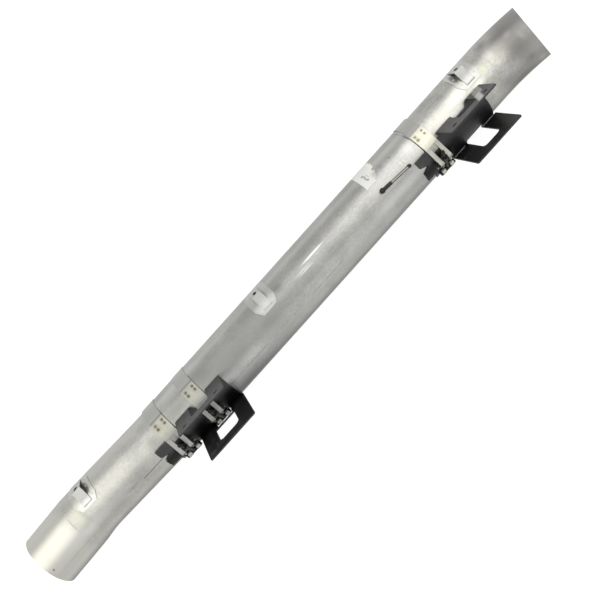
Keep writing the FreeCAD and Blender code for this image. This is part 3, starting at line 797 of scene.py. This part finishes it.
class Palette:
    """All the finishes of the pipe, built once."""

    def __init__(self) -> None:
        """Builds each material."""
        effects = SharedEffects()
        warm = (0.36, 0.356, 0.336)
        # The colour of the painted shadow lines beside the straps
        edge = (0.03, 0.03, 0.028)
        # Each mark: place along, angle, reach along, reach round, colour, strength, softness, lean
        self.inlet_steel = TubeFinish(
            "inlet tube steel",
            warm,
            0.40,
            seam_from=262 * MM,
            seam_to=345 * MM,
            seam_angle=31.0,
            seam_break=0.2,
            seam_depth=0.75,
            marks=marks_at(
                # Lighter steel on the upper side and at the mouth, and a painted highlight band below the lamp's
                # highlight
                (230, -68.0, 150, 42.0, (0.44, 0.436, 0.41), 0.7, 0.9),
                (10, -5.0, 108, 160.0, (0.44, 0.435, 0.40), 0.9, 0.35),
                (100, 14.0, 160, 21.0, (0.50, 0.495, 0.465), 0.9, 1.0),
                # Heat tint below the stand-off, a darker patch before the joint, and painted shade lines at the
                # bend's faint creases
                (120, -12.0, 17, 34.0, (0.42, 0.425, 0.35), 0.5, 0.8),
                (336, -3.0, 30, 22.0, (0.24, 0.238, 0.225), 0.85, 1.0),
                (104, -12.0, 3.2, 26.0, (0.22, 0.22, 0.19), 0.65, 0.9),
                (137, -12.0, 7, 30.0, (0.26, 0.26, 0.225), 0.55, 1.0),
                # A long scratch, a smear, a reddish tint and a speck near the mouth
                (70, 31.0, 90, 0.9, (0.16, 0.155, 0.15), 0.45, 0.9),
                (240, 27.0, 20, 6.0, (0.20, 0.19, 0.18), 0.5, 1.0),
                (22, 19.0, 26, 18.0, (0.52, 0.45, 0.44), 0.4, 0.9),
                (12, 17.0, 2.2, 2.2, (0.05, 0.05, 0.04), 0.9, 0.4),
            ),
        ).build(effects)
        self.main_steel = TubeFinish(
            "main tube steel",
            (0.315, 0.314, 0.304),
            0.36,
            seam_from=500 * MM,
            seam_to=860 * MM,
            seam_angle=33.8,
            seam_break=0.52,
            marks=marks_at(
                # Painted shadow lines beside the straps
                (387.3, -14.0, 1.3, 46.0, edge, 0.8, 0.5),
                (477.4, -14.0, 1.3, 46.0, edge, 0.8, 0.5),
                (1128.4, 6.0, 1.7, 88.0, edge, 0.9, 0.4, 1.6e-6),
                # Painted shade and painted lighter reflection bands along the main tube, where the lamps' light
                # falls unevenly
                (550, -7.0, 125, 42.0, (0.225, 0.225, 0.22), 0.8, 0.9),
                (520, 64.0, 225, 44.0, (0.125, 0.125, 0.12), 0.95, 1.0),
                (470, -49.0, 140, 13.0, (0.42, 0.42, 0.41), 0.7, 1.0),
                (450, -27.0, 90, 11.0, (0.23, 0.23, 0.22), 0.6, 1.0),
                (496, -19.0, 40, 24.0, (0.20, 0.20, 0.195), 0.8, 1.0),
                (672, -6.0, 60, 140.0, (0.24, 0.24, 0.23), 0.8, 1.0),
                (728, -24.0, 20, 13.0, (0.20, 0.20, 0.195), 0.8, 1.0),
                (1110, -22.0, 26, 26.0, (0.43, 0.428, 0.415), 0.7, 1.0),
                (1040, 27.0, 110, 15.0, (0.41, 0.408, 0.395), 0.75, 1.0),
                (1080, -47.0, 150, 15.0, (0.42, 0.42, 0.41), 0.8, 1.0),
                (414, -46.0, 60, 20.0, (0.41, 0.408, 0.40), 0.9, 0.9),
                (414, -12.0, 60, 18.0, (0.235, 0.235, 0.225), 0.85, 0.9),
                (800, -52.0, 420, 13.0, (0.40, 0.40, 0.39), 0.55, 1.0),
                (800, 42.0, 420, 14.0, (0.37, 0.37, 0.36), 0.4, 1.0),
                # Painted highlight streaks at the middle, chatter beside the pin and stains round the label
                (826, -18.0, 44, 2.8, (0.92, 0.92, 0.95), 0.85, 1.0),
                (790, -10.5, 30, 2.2, (0.60, 0.60, 0.61), 0.6, 1.0),
                (794, -6.5, 28, 2.4, (0.66, 0.66, 0.67), 0.6, 1.0),
                (1059, -8.0, 2, 7.0, (0.46, 0.46, 0.44), 0.4, 1.0),
                (1078, -7.0, 2, 8.0, (0.48, 0.48, 0.46), 0.4, 1.0),
                (1087, -5.0, 3, 6.0, (0.48, 0.48, 0.46), 0.4, 1.0),
                (1073, -31.0, 4, 4.0, (0.16, 0.14, 0.12), 0.5),
                (1047, -34.0, 9, 9.0, (0.24, 0.23, 0.20), 0.5, 1.0),
            ),
        ).build(effects)
        self.outlet_steel = TubeFinish(
            "outlet tube steel",
            warm,
            0.40,
            mottle=1.0,
            speckle=0.8,
            marks=marks_at(
                # Painted highlight between the clamp and the bend, and painted shade over the outlet's end
                (1210, -6.0, 70, 24.0, (0.46, 0.455, 0.43), 0.75, 0.9),
                (1256, -18.0, 52, 22.0, (0.60, 0.595, 0.56), 0.65, 1.0),
                (1475, 10.0, 100, 200.0, (0.215, 0.212, 0.202), 0.85, 0.35),
                (1225, 9.0, 44, 12.0, (0.58, 0.575, 0.54), 0.75, 1.0),
                (1302, 3.0, 24, 11.0, (0.60, 0.595, 0.57), 0.8, 1.0),
                # Painted shade in the bend and on its lower side, with a painted highlight spot and darker spots
                (1398, -4.0, 44, 70.0, (0.15, 0.148, 0.14), 0.8, 1.0),
                (1353, -20.0, 18, 15.0, (0.44, 0.435, 0.42), 0.6, 1.0),
                (1366, -50.0, 26, 18.0, (0.19, 0.18, 0.178), 0.75, 1.0),
                (1362, 56.0, 60, 40.0, (0.18, 0.178, 0.17), 0.7, 1.0),
                (1392, 64.0, 44, 24.0, (0.15, 0.148, 0.14), 0.75, 1.0),
                # Straw and reddish heat tint, and small smudges
                (1324, -14.0, 26, 16.0, (0.52, 0.54, 0.36), 0.4, 1.0),
                (1348, -10.0, 3, 20.0, (0.22, 0.22, 0.21), 0.4, 1.0),
                (1397, -50.0, 26, 14.0, (0.34, 0.28, 0.28), 0.4, 1.0),
                (1410, -20.0, 16, 10.0, (0.36, 0.31, 0.31), 0.4, 1.0),
                (1414, 36.0, 12, 10.0, (0.15, 0.148, 0.14), 0.5, 1.0),
                (1385, -37.0, 14, 11.0, (0.22, 0.20, 0.20), 0.5, 1.0),
                (1432, 52.0, 10, 9.0, (0.34, 0.34, 0.33), 0.5, 1.0),
                (1425, 0.0, 8, 14.0, (0.34, 0.33, 0.32), 0.35, 1.0),
            ),
        ).build(effects)
        # Each strap: its own colour, its fingers' colour and shade, how strong the painted shadow at its edge is,
        # how far the part above the fingers is dulled, and how strong the halos are on the inlet and the outlet
        # side
        straps = (
            ((0.335, 0.333, 0.288), (0.333, 0.333, 0.325), 0.92, 0.85, 0.45, (0.75, 0.75)),
            ((0.33, 0.327, 0.298), (0.328, 0.328, 0.322), 0.78, 0.8, 0.35, (0.75, 0.75)),
            ((0.48, 0.475, 0.405), (0.475, 0.475, 0.435), 0.77, 0.3, 0.2, (0.5, 0.15)),
        )
        self.straps = {
            clamp: BandFinish(
                f"{clamp} strap steel",
                colour,
                0.45,
                finger_shade=shade,
                marks=self._tail_marks(centre, finger, dulled, halos),
                edge_shadows=marks_at((centre, -28.6, 300, 4.4, (0.19, 0.19, 0.175), edge_shadow, 1.0)),
            ).build(effects)
            for (clamp, centre), (colour, finger, shade, edge_shadow, dulled, halos) in zip(CLAMPS.items(), straps)
        }
        # A painted highlight band across each stand-off, at the angle of the lamps' highlight
        painted_highlight = [(centre, -19.0, 24, 11.0, (0.50, 0.50, 0.49), 0.9, 0.8) for centre in STAND_OFFS.values()]
        # Painted shade round each stand-off's hole, where the hole looks down into shadow
        hole_shades = [
            (centre, angle, 4.8, 7.0, (0.02, 0.02, 0.02), 0.95, 0.3)
            for centre, angle in zip(STAND_OFFS.values(), (-48.7, -45.4, -45.4))
        ]
        marks, tint = marks_at(*painted_highlight, *hole_shades), (0.27, 0.27, 0.26)
        self.pressed = StripFinish(
            "pressed stand-off steel", (0.37, 0.37, 0.362), 0.45, tint=tint, marks=marks
        ).build(effects)
        # Each pad: its colour, and where the painted shade beside its strip lies
        pads = (((0.41, 0.408, 0.38), 16), ((0.37, 0.37, 0.36), None), ((0.43, 0.428, 0.41), -17))
        self.pads = {
            name: self._pad(name, centre, *values).build(effects)
            for (name, centre), values in zip(STAND_OFFS.items(), pads)
        }
        self.pin = PinFinish("pin steel", (0.035, 0.035, 0.032), 0.45).build(effects)
        # Painted reflection on the upper bracket's ear, as two patches
        sheen = (
            ReflectionPatch((1292.5, 1318), (66, 114), (0.42, 0.405, 0.375), 0.8),
            ReflectionPatch((1292.5, 1311), (102, 147), (0.54, 0.54, 0.53), 0.9),
        )
        self.paint = PaintFinish("satin black paint", (0.013, 0.013, 0.014), 0.42, patches=sheen).build(effects)
        black = (0.015, 0.0155, 0.0135)
        self.oxide = OxideFinish("black oxide", black, 0.5).build(effects)
        self.thread = OxideFinish("threaded black oxide", black, 0.45, thread_pitch=1.25 * MM).build(effects)
        self.burnt = OxideFinish("burnt spot weld", (0.125, 0.115, 0.075), 0.5).build(effects)
        self.faded = OxideFinish("faded spot weld", (0.26, 0.245, 0.17), 0.5).build(effects)
        self.weld = StripFinish("weld metal", (0.42, 0.41, 0.39), 0.4, tint=(0.3, 0.24, 0.2)).build(effects)
        self.bead = StripFinish("foot weld metal", (0.50, 0.50, 0.49), 0.5, tint=(0.45, 0.45, 0.44)).build(effects)
        ink, pale_ink = (0.12, 0.12, 0.13), (0.14, 0.14, 0.15)
        self.paper = PaperFinish(
            "label paper",
            (0.74, 0.74, 0.73),
            0.75,
            marks=marks_at(
                (1010, -49.5, 4.5, 3.2, pale_ink, 0.8, 0.6),
                (1011.5, -44.0, 4, 2.8, ink, 0.8, 0.6),
                (1010.5, -38.5, 4.5, 2.6, pale_ink, 0.8, 0.6),
                (1012, -33.5, 4, 2.8, ink, 0.8, 0.6),
                (1017.5, -41.0, 1.2, 10.0, (0.2, 0.2, 0.2), 0.5, 0.5),
                (1030, -30.0, 13, 15.0, (0.33, 0.33, 0.32), 0.6, 0.9),
            ),
        ).build(effects)

    def _tail_marks(
        self, centre: float, finger: Colour, dulled: float, halos: tuple[float, float]
    ) -> tuple[Mark, ...]:
        """Gives the marks on a clamp's tail: its plainer fingers and the burnt halo of each spot weld.

        Args:
            centre: The clamp's place along the pipe, in millimetres.
            finger: The colour of the fingers, which the heat didn't tint.
            dulled: How strongly the part above the fingers is dulled.
            halos: How strong the halos are on the inlet side and on the outlet side.

        Returns:
            The marks.
        """
        burnt = [
            (centre + side * SPOT_WELD_SIDE, angle, 6.4, 5.8, (0.12, 0.11, 0.07), strength, 1.0)
            for side, strength in zip((-1, 1), halos)
            for angle in (SPOT_WELD_ANGLE, SPOT_WELD_ANGLE + SPOT_WELD_STEP)
        ]
        return marks_at(
            (centre, 60.0, 300, 60.0, finger, 0.9, 0.3),
            (centre, 9.0, 200, 11.0, (0.20, 0.20, 0.185), dulled, 1.0),
            *burnt,
        )

    def _pad(self, name: str, centre: float, colour: Colour, strip_shade_offset: float | None) -> StripFinish:
        """Gives the finish of one stand-off's pad: a painted highlight band, and painted shade where the
        stand-off's hole looks down on it.

        Args:
            name: The stand-off's name.
            centre: Its place along the pipe, in millimetres.
            colour: The pad's colour.
            strip_shade_offset: How far from the stand-off's middle the painted shade beside the strip lies, or
                None for a pad without it.

        Returns:
            The finish.
        """
        # A painted highlight band and painted shade under the hole
        rows = [
            (centre, -19.0, 34, 17.0, (0.54, 0.54, 0.525), 0.85, 0.9),
            (centre, -55.0, 9, 11.0, (0.02, 0.02, 0.02), 0.95, 0.3),
        ]
        # Painted shade on the pad beside the strip, where the stand-off's side lies in shadow
        if strip_shade_offset is not None:
            rows.append((centre + strip_shade_offset, -43.0, 8, 18.0, (0.13, 0.13, 0.12), 0.85, 0.6))
        return StripFinish(f"{name} pad steel", colour, 0.42, tint=(0.3, 0.3, 0.29), marks=marks_at(*rows))


@dataclass(frozen=True)
class PhotoCamera:
    """The photograph's own camera, straight above the pipe."""

    along: float = 741.7 * MM
    side: float = -23.0 * MM
    height: float = 1825 * MM
    turn: float = -48.1
    lens: float = 53.1
    film: float = 36.0

    def place(self) -> bpy.types.Object:
        """Adds the camera to the scene and makes it the scene's own.

        Returns:
            The camera.
        """
        data = bpy.data.cameras.new("photo camera")
        data.lens = self.lens
        data.sensor_width = self.film
        data.clip_end = 50.0
        camera = add_object("photo_camera", data)
        camera.location = (self.along, self.side, self.height)
        camera.rotation_euler = (0.0, 0.0, math.radians(self.turn))
        bpy.context.scene.camera = camera
        return camera


@dataclass
class Softbox:
    """A large area lamp that faces a point on the pipe."""

    name: str
    place: Vector
    target: Vector
    length: float
    depth: float
    power: float
    colour: Colour = (1.0, 1.0, 1.0)

    def hang(self) -> bpy.types.Object:
        """Adds the lamp to the scene.

        Returns:
            The lamp.
        """
        data = bpy.data.lights.new(self.name, "AREA")
        data.shape = "RECTANGLE"
        data.size = self.length
        data.size_y = self.depth
        data.energy = self.power
        data.color = self.colour
        lamp = add_object(self.name, data)
        away = (self.place - self.target).normalized()
        along = Vector((1.0, 0.0, 0.0))
        up = away.cross(along).normalized()
        along = up.cross(away).normalized()
        turned = Matrix((along, up, away)).transposed().to_4x4()
        lamp.matrix_world = Matrix.Translation(self.place) @ turned
        return lamp


@dataclass
class Studio:
    """A white floor, a white sky and softboxes over the two ends of the pipe."""

    floor_level: float
    sky: float = 0.55
    shown_white: float = 1.0
    floor_glow: float = 0.73
    lamp_height: float = 1.9

    def set_up(self) -> None:
        """Builds the world, the floor and the lamps, and sets the view transform."""
        bpy.context.scene.view_settings.view_transform = "Standard"
        self._world()
        self._floor()
        for lamp in self._lamps():
            lamp.hang()

    def _shown(self, work: NodeWork) -> bpy.types.NodeSocket:
        """Gives 1 for what the camera sees straight, in metal or through glass.

        Args:
            work: The tree's node work.

        Returns:
            The mask.
        """
        path = work.add("ShaderNodeLightPath")
        seen = work.math("ADD", path.outputs["Is Camera Ray"], path.outputs["Is Glossy Ray"])
        return work.math("MINIMUM", work.math("ADD", seen, path.outputs["Is Transmission Ray"]), 1.0)

    def _world(self) -> None:
        """Builds the sky: plain light on the object, white where it is seen."""
        world = bpy.data.worlds.new("white sky")
        world.use_nodes = True
        bpy.context.scene.world = world
        work = NodeWork(world.node_tree)
        background = world.node_tree.nodes["Background"]
        background.inputs["Color"].default_value = (1.0, 1.0, 1.0, 1.0)
        strength = work.fit(self._shown(work), 0.0, 1.0, self.sky, self.shown_white)
        work.feed(background.inputs["Strength"], strength)

    def _floor(self) -> None:
        """Lays the floor that the pipe lies on."""
        mesh = bpy.data.meshes.new("floor")
        grid = bmesh.new()
        bmesh.ops.create_grid(grid, x_segments=1, y_segments=1, size=9.0)
        bmesh.ops.translate(grid, verts=grid.verts, vec=(PIPE_LENGTH / 2, 0.0, self.floor_level))
        grid.to_mesh(mesh)
        grid.free()
        floor = add_object("floor", mesh)
        material = bpy.data.materials.new("white floor")
        material.use_nodes = True
        work = NodeWork(material.node_tree)
        shader = material.node_tree.nodes["Principled BSDF"]
        for name, value in (
            ("Base Color", (0.5, 0.5, 0.5)),
            ("Roughness", 0.9),
            ("Specular IOR Level", 0.0),
            ("Emission Color", (1.0, 1.0, 1.0)),
            ("Emission Strength", work.times(self._shown(work), self.floor_glow)),
        ):
            work.feed(shader.inputs[name], value)
        mesh.materials.append(material)
        floor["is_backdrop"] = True

    def _lamps(self) -> list[Softbox]:
        """Lists the lamps.

        Returns:
            The softboxes.
        """
        height = self.lamp_height
        middle = Vector((PIPE_LENGTH / 2, 0.0, 0.0))
        cream = (1.0, 0.99, 0.92)
        return [
            Softbox("inlet_softbox", Vector((-0.75, 0.80, height)), Vector((0.1, 0, 0)), 1.2, 2.9, 24.0, cream),
            Softbox("outlet_softbox", Vector((1.69, 0.68, height)), Vector((1.3, 0, 0)), 0.68, 2.8, 17.0, cream),
            Softbox("middle_softbox", Vector((1.08, 0.93, height)), Vector((1.0, 0, 0)), 0.5, 1.0, 2.3),
            Softbox("fill_softbox", Vector((0.75, -2.0, 1.5)), middle, 2.4, 2.2, 9.0),
        ]


def attach(piece: bpy.types.Object) -> bpy.types.Object:
    """Makes a new piece part of the pipe.

    Args:
        piece: The piece.

    Returns:
        The same piece.
    """
    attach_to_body(piece, "root")
    return piece


class PipePattern:
    """A Geometry Nodes tree that repeats a small domed piece over a tube, in rows along and round it."""

    INPUTS = {
        "NodeSocketInt": ("Along Count", "Angle Count", "Seed"),
        "NodeSocketFloat": (
            *("Start Along", "Along Step", "Start Angle", "Angle Step", "Tube Radius", "Side Offset"),
            *("Piece Radius", "Piece Height", "Unevenness"),
        ),
        "NodeSocketMaterial": ("Material",),
    }
    DOME = {"Segments": 20, "Rings": 10}
    USUAL = {"Angle Count": 1, "Angle Step": 0.0, "Side Offset": 0.0, "Unevenness": 0.1, "Seed": 7}

    def __init__(self) -> None:
        """Builds the tree."""
        self.tree = bpy.data.node_groups.new("domed pieces on the pipe", "GeometryNodeTree")
        for kind, labels in self.INPUTS.items():
            for label in labels:
                self.tree.interface.new_socket(label, in_out="INPUT", socket_type=kind)
        self.tree.interface.new_socket("Geometry", in_out="OUTPUT", socket_type="NodeSocketGeometry")
        self._fill()

    def _fill(self) -> None:
        """Fills the tree: points, their places on the tube, an instance at each and the material."""
        work = NodeWork(self.tree)
        given = work.add("NodeGroupInput").outputs
        index = work.add("GeometryNodeInputIndex").outputs[0]
        step = work.math("MODULO", index, given["Along Count"])
        row = work.math("FLOOR", work.math("DIVIDE", index, given["Along Count"]))
        slide = work.times(self._wobble(work, given, 0), given["Piece Radius"])
        along = work.math("ADD", work.more(step, given["Along Step"], given["Start Along"]), slide)
        turn = work.math("RADIANS", work.more(row, given["Angle Step"], given["Start Angle"]))
        side = work.times(work.math("SINE", turn), work.times(given["Tube Radius"], -1.0))
        height = work.times(work.math("COSINE", turn), given["Tube Radius"])
        points = work.add("GeometryNodePoints")
        work.feed(points.inputs["Count"], work.times(given["Along Count"], given["Angle Count"]))
        place = work.join(along, work.math("ADD", side, given["Side Offset"]), height)
        work.feed(points.inputs["Position"], place)
        dome = work.add("GeometryNodeMeshUVSphere")
        for label, count in self.DOME.items():
            work.feed(dome.inputs[label], count)
        wide = work.times(given["Piece Radius"], work.math("ADD", self._wobble(work, given, 1), 1.0))
        spread = work.add("GeometryNodeInstanceOnPoints")
        for label, value in (
            ("Points", points.outputs[0]),
            ("Instance", dome.outputs["Mesh"]),
            ("Rotation", work.join(turn)),
            ("Scale", work.join(wide, wide, given["Piece Height"])),
        ):
            work.feed(spread.inputs[label], value)
        real = work.filled(work.add("GeometryNodeRealizeInstances"), spread.outputs[0])
        smooth = work.filled(work.add("GeometryNodeSetShadeSmooth"), real)
        coloured = work.add("GeometryNodeSetMaterial")
        work.feed(coloured.inputs["Geometry"], smooth)
        work.feed(coloured.inputs["Material"], given["Material"])
        work.feed(work.add("NodeGroupOutput").inputs["Geometry"], coloured.outputs[0])

    def _wobble(self, work: NodeWork, given: bpy.types.NodeOutputs, extra: int) -> bpy.types.NodeSocket:
        """Adds a random number between minus and plus the unevenness.

        Args:
            work: The tree's node work.
            given: The tree's inputs.
            extra: What is added to the seed, so that each use differs.

        Returns:
            The random number.
        """
        random = work.add("FunctionNodeRandomValue", data_type="FLOAT")
        work.feed(random.inputs[2], work.times(given["Unevenness"], -1.0))
        work.feed(random.inputs[3], given["Unevenness"])
        work.feed(random.inputs["Seed"], work.math("ADD", given["Seed"], extra))
        return random.outputs[1]

    def make(self, name: str, slot: str, material: bpy.types.Material, **values: float) -> bpy.types.Object:
        """Makes one piece with the tree and turns it into a plain mesh.

        Args:
            name: The piece's name.
            slot: A material slot's name; not used.
            material: Its material.
            values: The tree's inputs by name, with _ for a space, where they aren't the usual ones.

        Returns:
            The piece, already part of the pipe.
        """
        holder = add_object(f"{name}_pattern", bpy.data.meshes.new(f"{name}_pattern"))
        modifier = holder.modifiers.new("pattern", "NODES")
        modifier.node_group = self.tree
        given = {label.replace("_", " "): value for label, value in values.items()}
        settings = {**self.USUAL, **given, "Material": material}
        for item in self.tree.interface.items_tree:
            if item.in_out == "INPUT":
                modifier[item.identifier] = settings[item.name]
        graph = bpy.context.evaluated_depsgraph_get()
        mesh = bpy.data.meshes.new_from_object(holder.evaluated_get(graph), depsgraph=graph)
        mesh.name = name
        bpy.data.objects.remove(holder)
        log.info("laid %s", name)
        return attach(add_object(name, mesh))


@dataclass
class Assembly:
    """A part of the pipe, with what dresses it: the finishes, the pattern of small welds and the CAD nodes."""

    palette: Palette
    pattern: PipePattern
    nodes: dict[str, bpy.types.Object]

    def paint(self, node: str, material: bpy.types.Material) -> None:
        """Gives a CAD node one material.

        Args:
            node: The node's name.
            material: The material.
        """
        slots = self.nodes[node].data.materials
        slots.clear()
        slots.append(material)
        log.info("dressed %s", node)


@dataclass
class TubeRun(Assembly):
    """The three tubes that lap into each other."""

    def dress(self) -> None:
        """Gives each tube its own steel."""
        self.paint("inlet_tube", self.palette.inlet_steel)
        self.paint("main_tube", self.palette.main_steel)
        self.paint("outlet_tube", self.palette.outlet_steel)


@dataclass
class BandClamp(Assembly):
    """One T-bolt band clamp."""

    name: str
    centre: float
    spot_radius: float = 2.6 * MM
    spot_height: float = 0.25 * MM

    def dress(self) -> None:
        """Gives the band, bolt, trunnion and nut their finishes, and the tail its spot welds."""
        self.paint(f"{self.name}_band", self.palette.straps[self.name])
        self.paint(f"{self.name}_t_bolt", self.palette.thread)
        self.paint(f"{self.name}_trunnion", self.palette.oxide)
        self.paint(f"{self.name}_lock_nut", self.palette.oxide)
        self.pattern.make(
            f"{self.name}_spot_welds",
            "band_steel",
            self.palette.faded if self.name == "outlet_joint" else self.palette.burnt,
            Along_Count=2,
            Angle_Count=2,
            Start_Along=self.centre - SPOT_WELD_SIDE * MM,
            Along_Step=2 * SPOT_WELD_SIDE * MM,
            Start_Angle=SPOT_WELD_ANGLE,
            Angle_Step=SPOT_WELD_STEP,
            Tube_Radius=TAIL_OUTER,
            Piece_Radius=self.spot_radius,
            Piece_Height=self.spot_height,
            Unevenness=0.2,
        )


@dataclass
class Bracket(Assembly):
    """One folded mounting bracket with its window plate."""

    name: str
    weld_starts: tuple[float, float]
    bead_count: int = 22
    bead_angle: float = 79.9
    bead_radius: float = 1.5 * MM
    bead_height: float = 1.2 * MM

    def dress(self) -> None:
        """Paints the bracket black and lays the weld beads at the root of its window plate."""
        self.paint(f"{self.name}_bracket", self.palette.paint)
        self.paint(f"{self.name}_window_plate", self.palette.paint)
        for number, start in enumerate(self.weld_starts, start=1):
            self.pattern.make(
                f"{self.name}_plate_weld_{number}",
                "bracket_paint",
                self.palette.weld if self.name == "upper" else self.palette.paint,
                Along_Count=self.bead_count,
                Start_Along=start,
                Along_Step=self.bead_radius,
                Start_Angle=self.bead_angle,
                Tube_Radius=SADDLE_OUTER + 0.1 * MM,
                Piece_Radius=self.bead_radius,
                Piece_Height=self.bead_height,
                Seed=number,
            )


@dataclass
class StandOff(Assembly):
    """One heat-shield stand-off on its pad."""

    name: str
    centre: float
    side: float
    tube_radius: float
    spot_reach: float = 18 * MM
    spot_angle: float = -62.0
    spot_radius: float = 2.2 * MM
    spot_height: float = 0.2 * MM
    foot_reach: float = 9.9 * MM
    foot_angle: float = -12.5
    bead_count: int = 13
    bead_radius: float = 1.6 * MM
    bead_height: float = 1.7 * MM

    def dress(self) -> None:
        """Gives the strip and the pad their finish, the pad its spot welds and the strip's foot its bead."""
        self.paint(self.name, self.palette.pressed)
        self.paint(f"{self.name}_pad", self.palette.pads[self.name])
        on_pad = {"Tube_Radius": self.tube_radius + PAD_SHEET, "Side_Offset": self.side}
        self.pattern.make(
            f"{self.name}_spot_welds",
            "standoff_steel",
            self.palette.weld,
            Along_Count=2,
            Angle_Count=3,
            Start_Along=self.centre - self.spot_reach,
            Along_Step=2 * self.spot_reach,
            Start_Angle=self.spot_angle,
            Angle_Step=21.0,
            Piece_Radius=self.spot_radius,
            Piece_Height=self.spot_height,
            Unevenness=0.15,
            **on_pad,
        )
        self.pattern.make(
            f"{self.name}_foot_weld",
            "standoff_steel",
            self.palette.bead,
            Along_Count=self.bead_count,
            Start_Along=self.centre - self.foot_reach,
            Along_Step=2 * self.foot_reach / (self.bead_count - 1),
            Start_Angle=self.foot_angle,
            Piece_Radius=self.bead_radius,
            Piece_Height=self.bead_height,
            Seed=3,
            **on_pad,
        )


@dataclass
class HangerPin(Assembly):
    """The pin on the main tube."""

    def dress(self) -> None:
        """Gives the pin its steel."""
        self.paint("hanger_pin", self.palette.pin)


@dataclass
class PaperLabel:
    """A paper label that wraps part of the main tube, with a torn edge and a cut corner."""

    palette: Palette
    start: float = 995 * MM
    length: float = 50 * MM
    angle_from: float = -82.0
    angle_to: float = -20.0
    lift: float = 0.12 * MM
    steps_along: int = 24
    steps_round: int = 48
    tears: tuple[tuple[float, float], ...] = ((0.04, 37.0), (0.03, 91.0))

    def stick(self) -> bpy.types.Object:
        """Builds the label.

        Returns:
            The label.
        """
        work_mesh = bmesh.new()
        rows = []
        for row in range(self.steps_round + 1):
            share = row / self.steps_round
            angle = self.angle_from + (self.angle_to - self.angle_from) * share
            finish = self.start + self.length * self._reach(share)
            points = []
            for step in range(self.steps_along + 1):
                along = self.start + (finish - self.start) * step / self.steps_along
                points.append(work_mesh.verts.new(on_pipe(along, angle, MAIN_RADIUS + self.lift)))
            rows.append(points)
        for lower, upper in zip(rows, rows[1:]):
            for step in range(self.steps_along):
                work_mesh.faces.new((lower[step], upper[step], upper[step + 1], lower[step + 1]))
        for face in work_mesh.faces:
            face.smooth = True
        bmesh.ops.recalc_face_normals(work_mesh, faces=work_mesh.faces)
        mesh = bpy.data.meshes.new("paper_label")
        work_mesh.to_mesh(mesh)
        work_mesh.free()
        mesh.materials.append(self.palette.paper)
        log.info("stuck on the paper label")
        return attach(add_object("paper_label", mesh))

    def _reach(self, share: float) -> float:
        """Gives how far the label's torn edge reaches at a place round the tube.

        Args:
            share: The place, from 0 at one side of the label to 1 at the other.

        Returns:
            The share of the label's length.
        """
        # Two waves tear the edge, a step draws its second half in and a cut takes the corner
        torn = sum(depth * math.sin(share * pace) for depth, pace in self.tears)
        step = 0.16 * min(max((share - 0.5) / 0.12, 0.0), 1.0)
        corner = max(0.0, share - 0.82) * 1.4
        return 0.93 + torn - step - corner


def main() -> None:
    """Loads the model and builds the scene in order."""
    logging.basicConfig(level=logging.INFO, format="%(name)s: %(message)s")
    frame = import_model()
    packed_box = [list(corner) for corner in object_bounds()]
    PhotoCamera().place()
    Studio(floor_level=packed_box[0][2] - 0.2 * MM).set_up()
    palette = Palette()
    kit = (palette, PipePattern(), frame["nodes"])
    TubeRun(*kit).dress()
    for clamp, centre in CLAMPS.items():
        BandClamp(*kit, clamp, centre * MM).dress()
    Bracket(*kit, "lower", (395.5 * MM, 487.5 * MM)).dress()
    Bracket(*kit, "upper", (1171 * MM, 1258.5 * MM)).dress()
    carriers = ((6.06 * MM, END_RADIUS), (0.0, MAIN_RADIUS), (0.0, END_RADIUS))
    for (name, centre), (side, tube_radius) in zip(STAND_OFFS.items(), carriers):
        StandOff(*kit, name, centre * MM, side, tube_radius).dress()
    HangerPin(*kit).dress()
    PaperLabel(palette).stick()


if __name__ == "__main__":
    main()
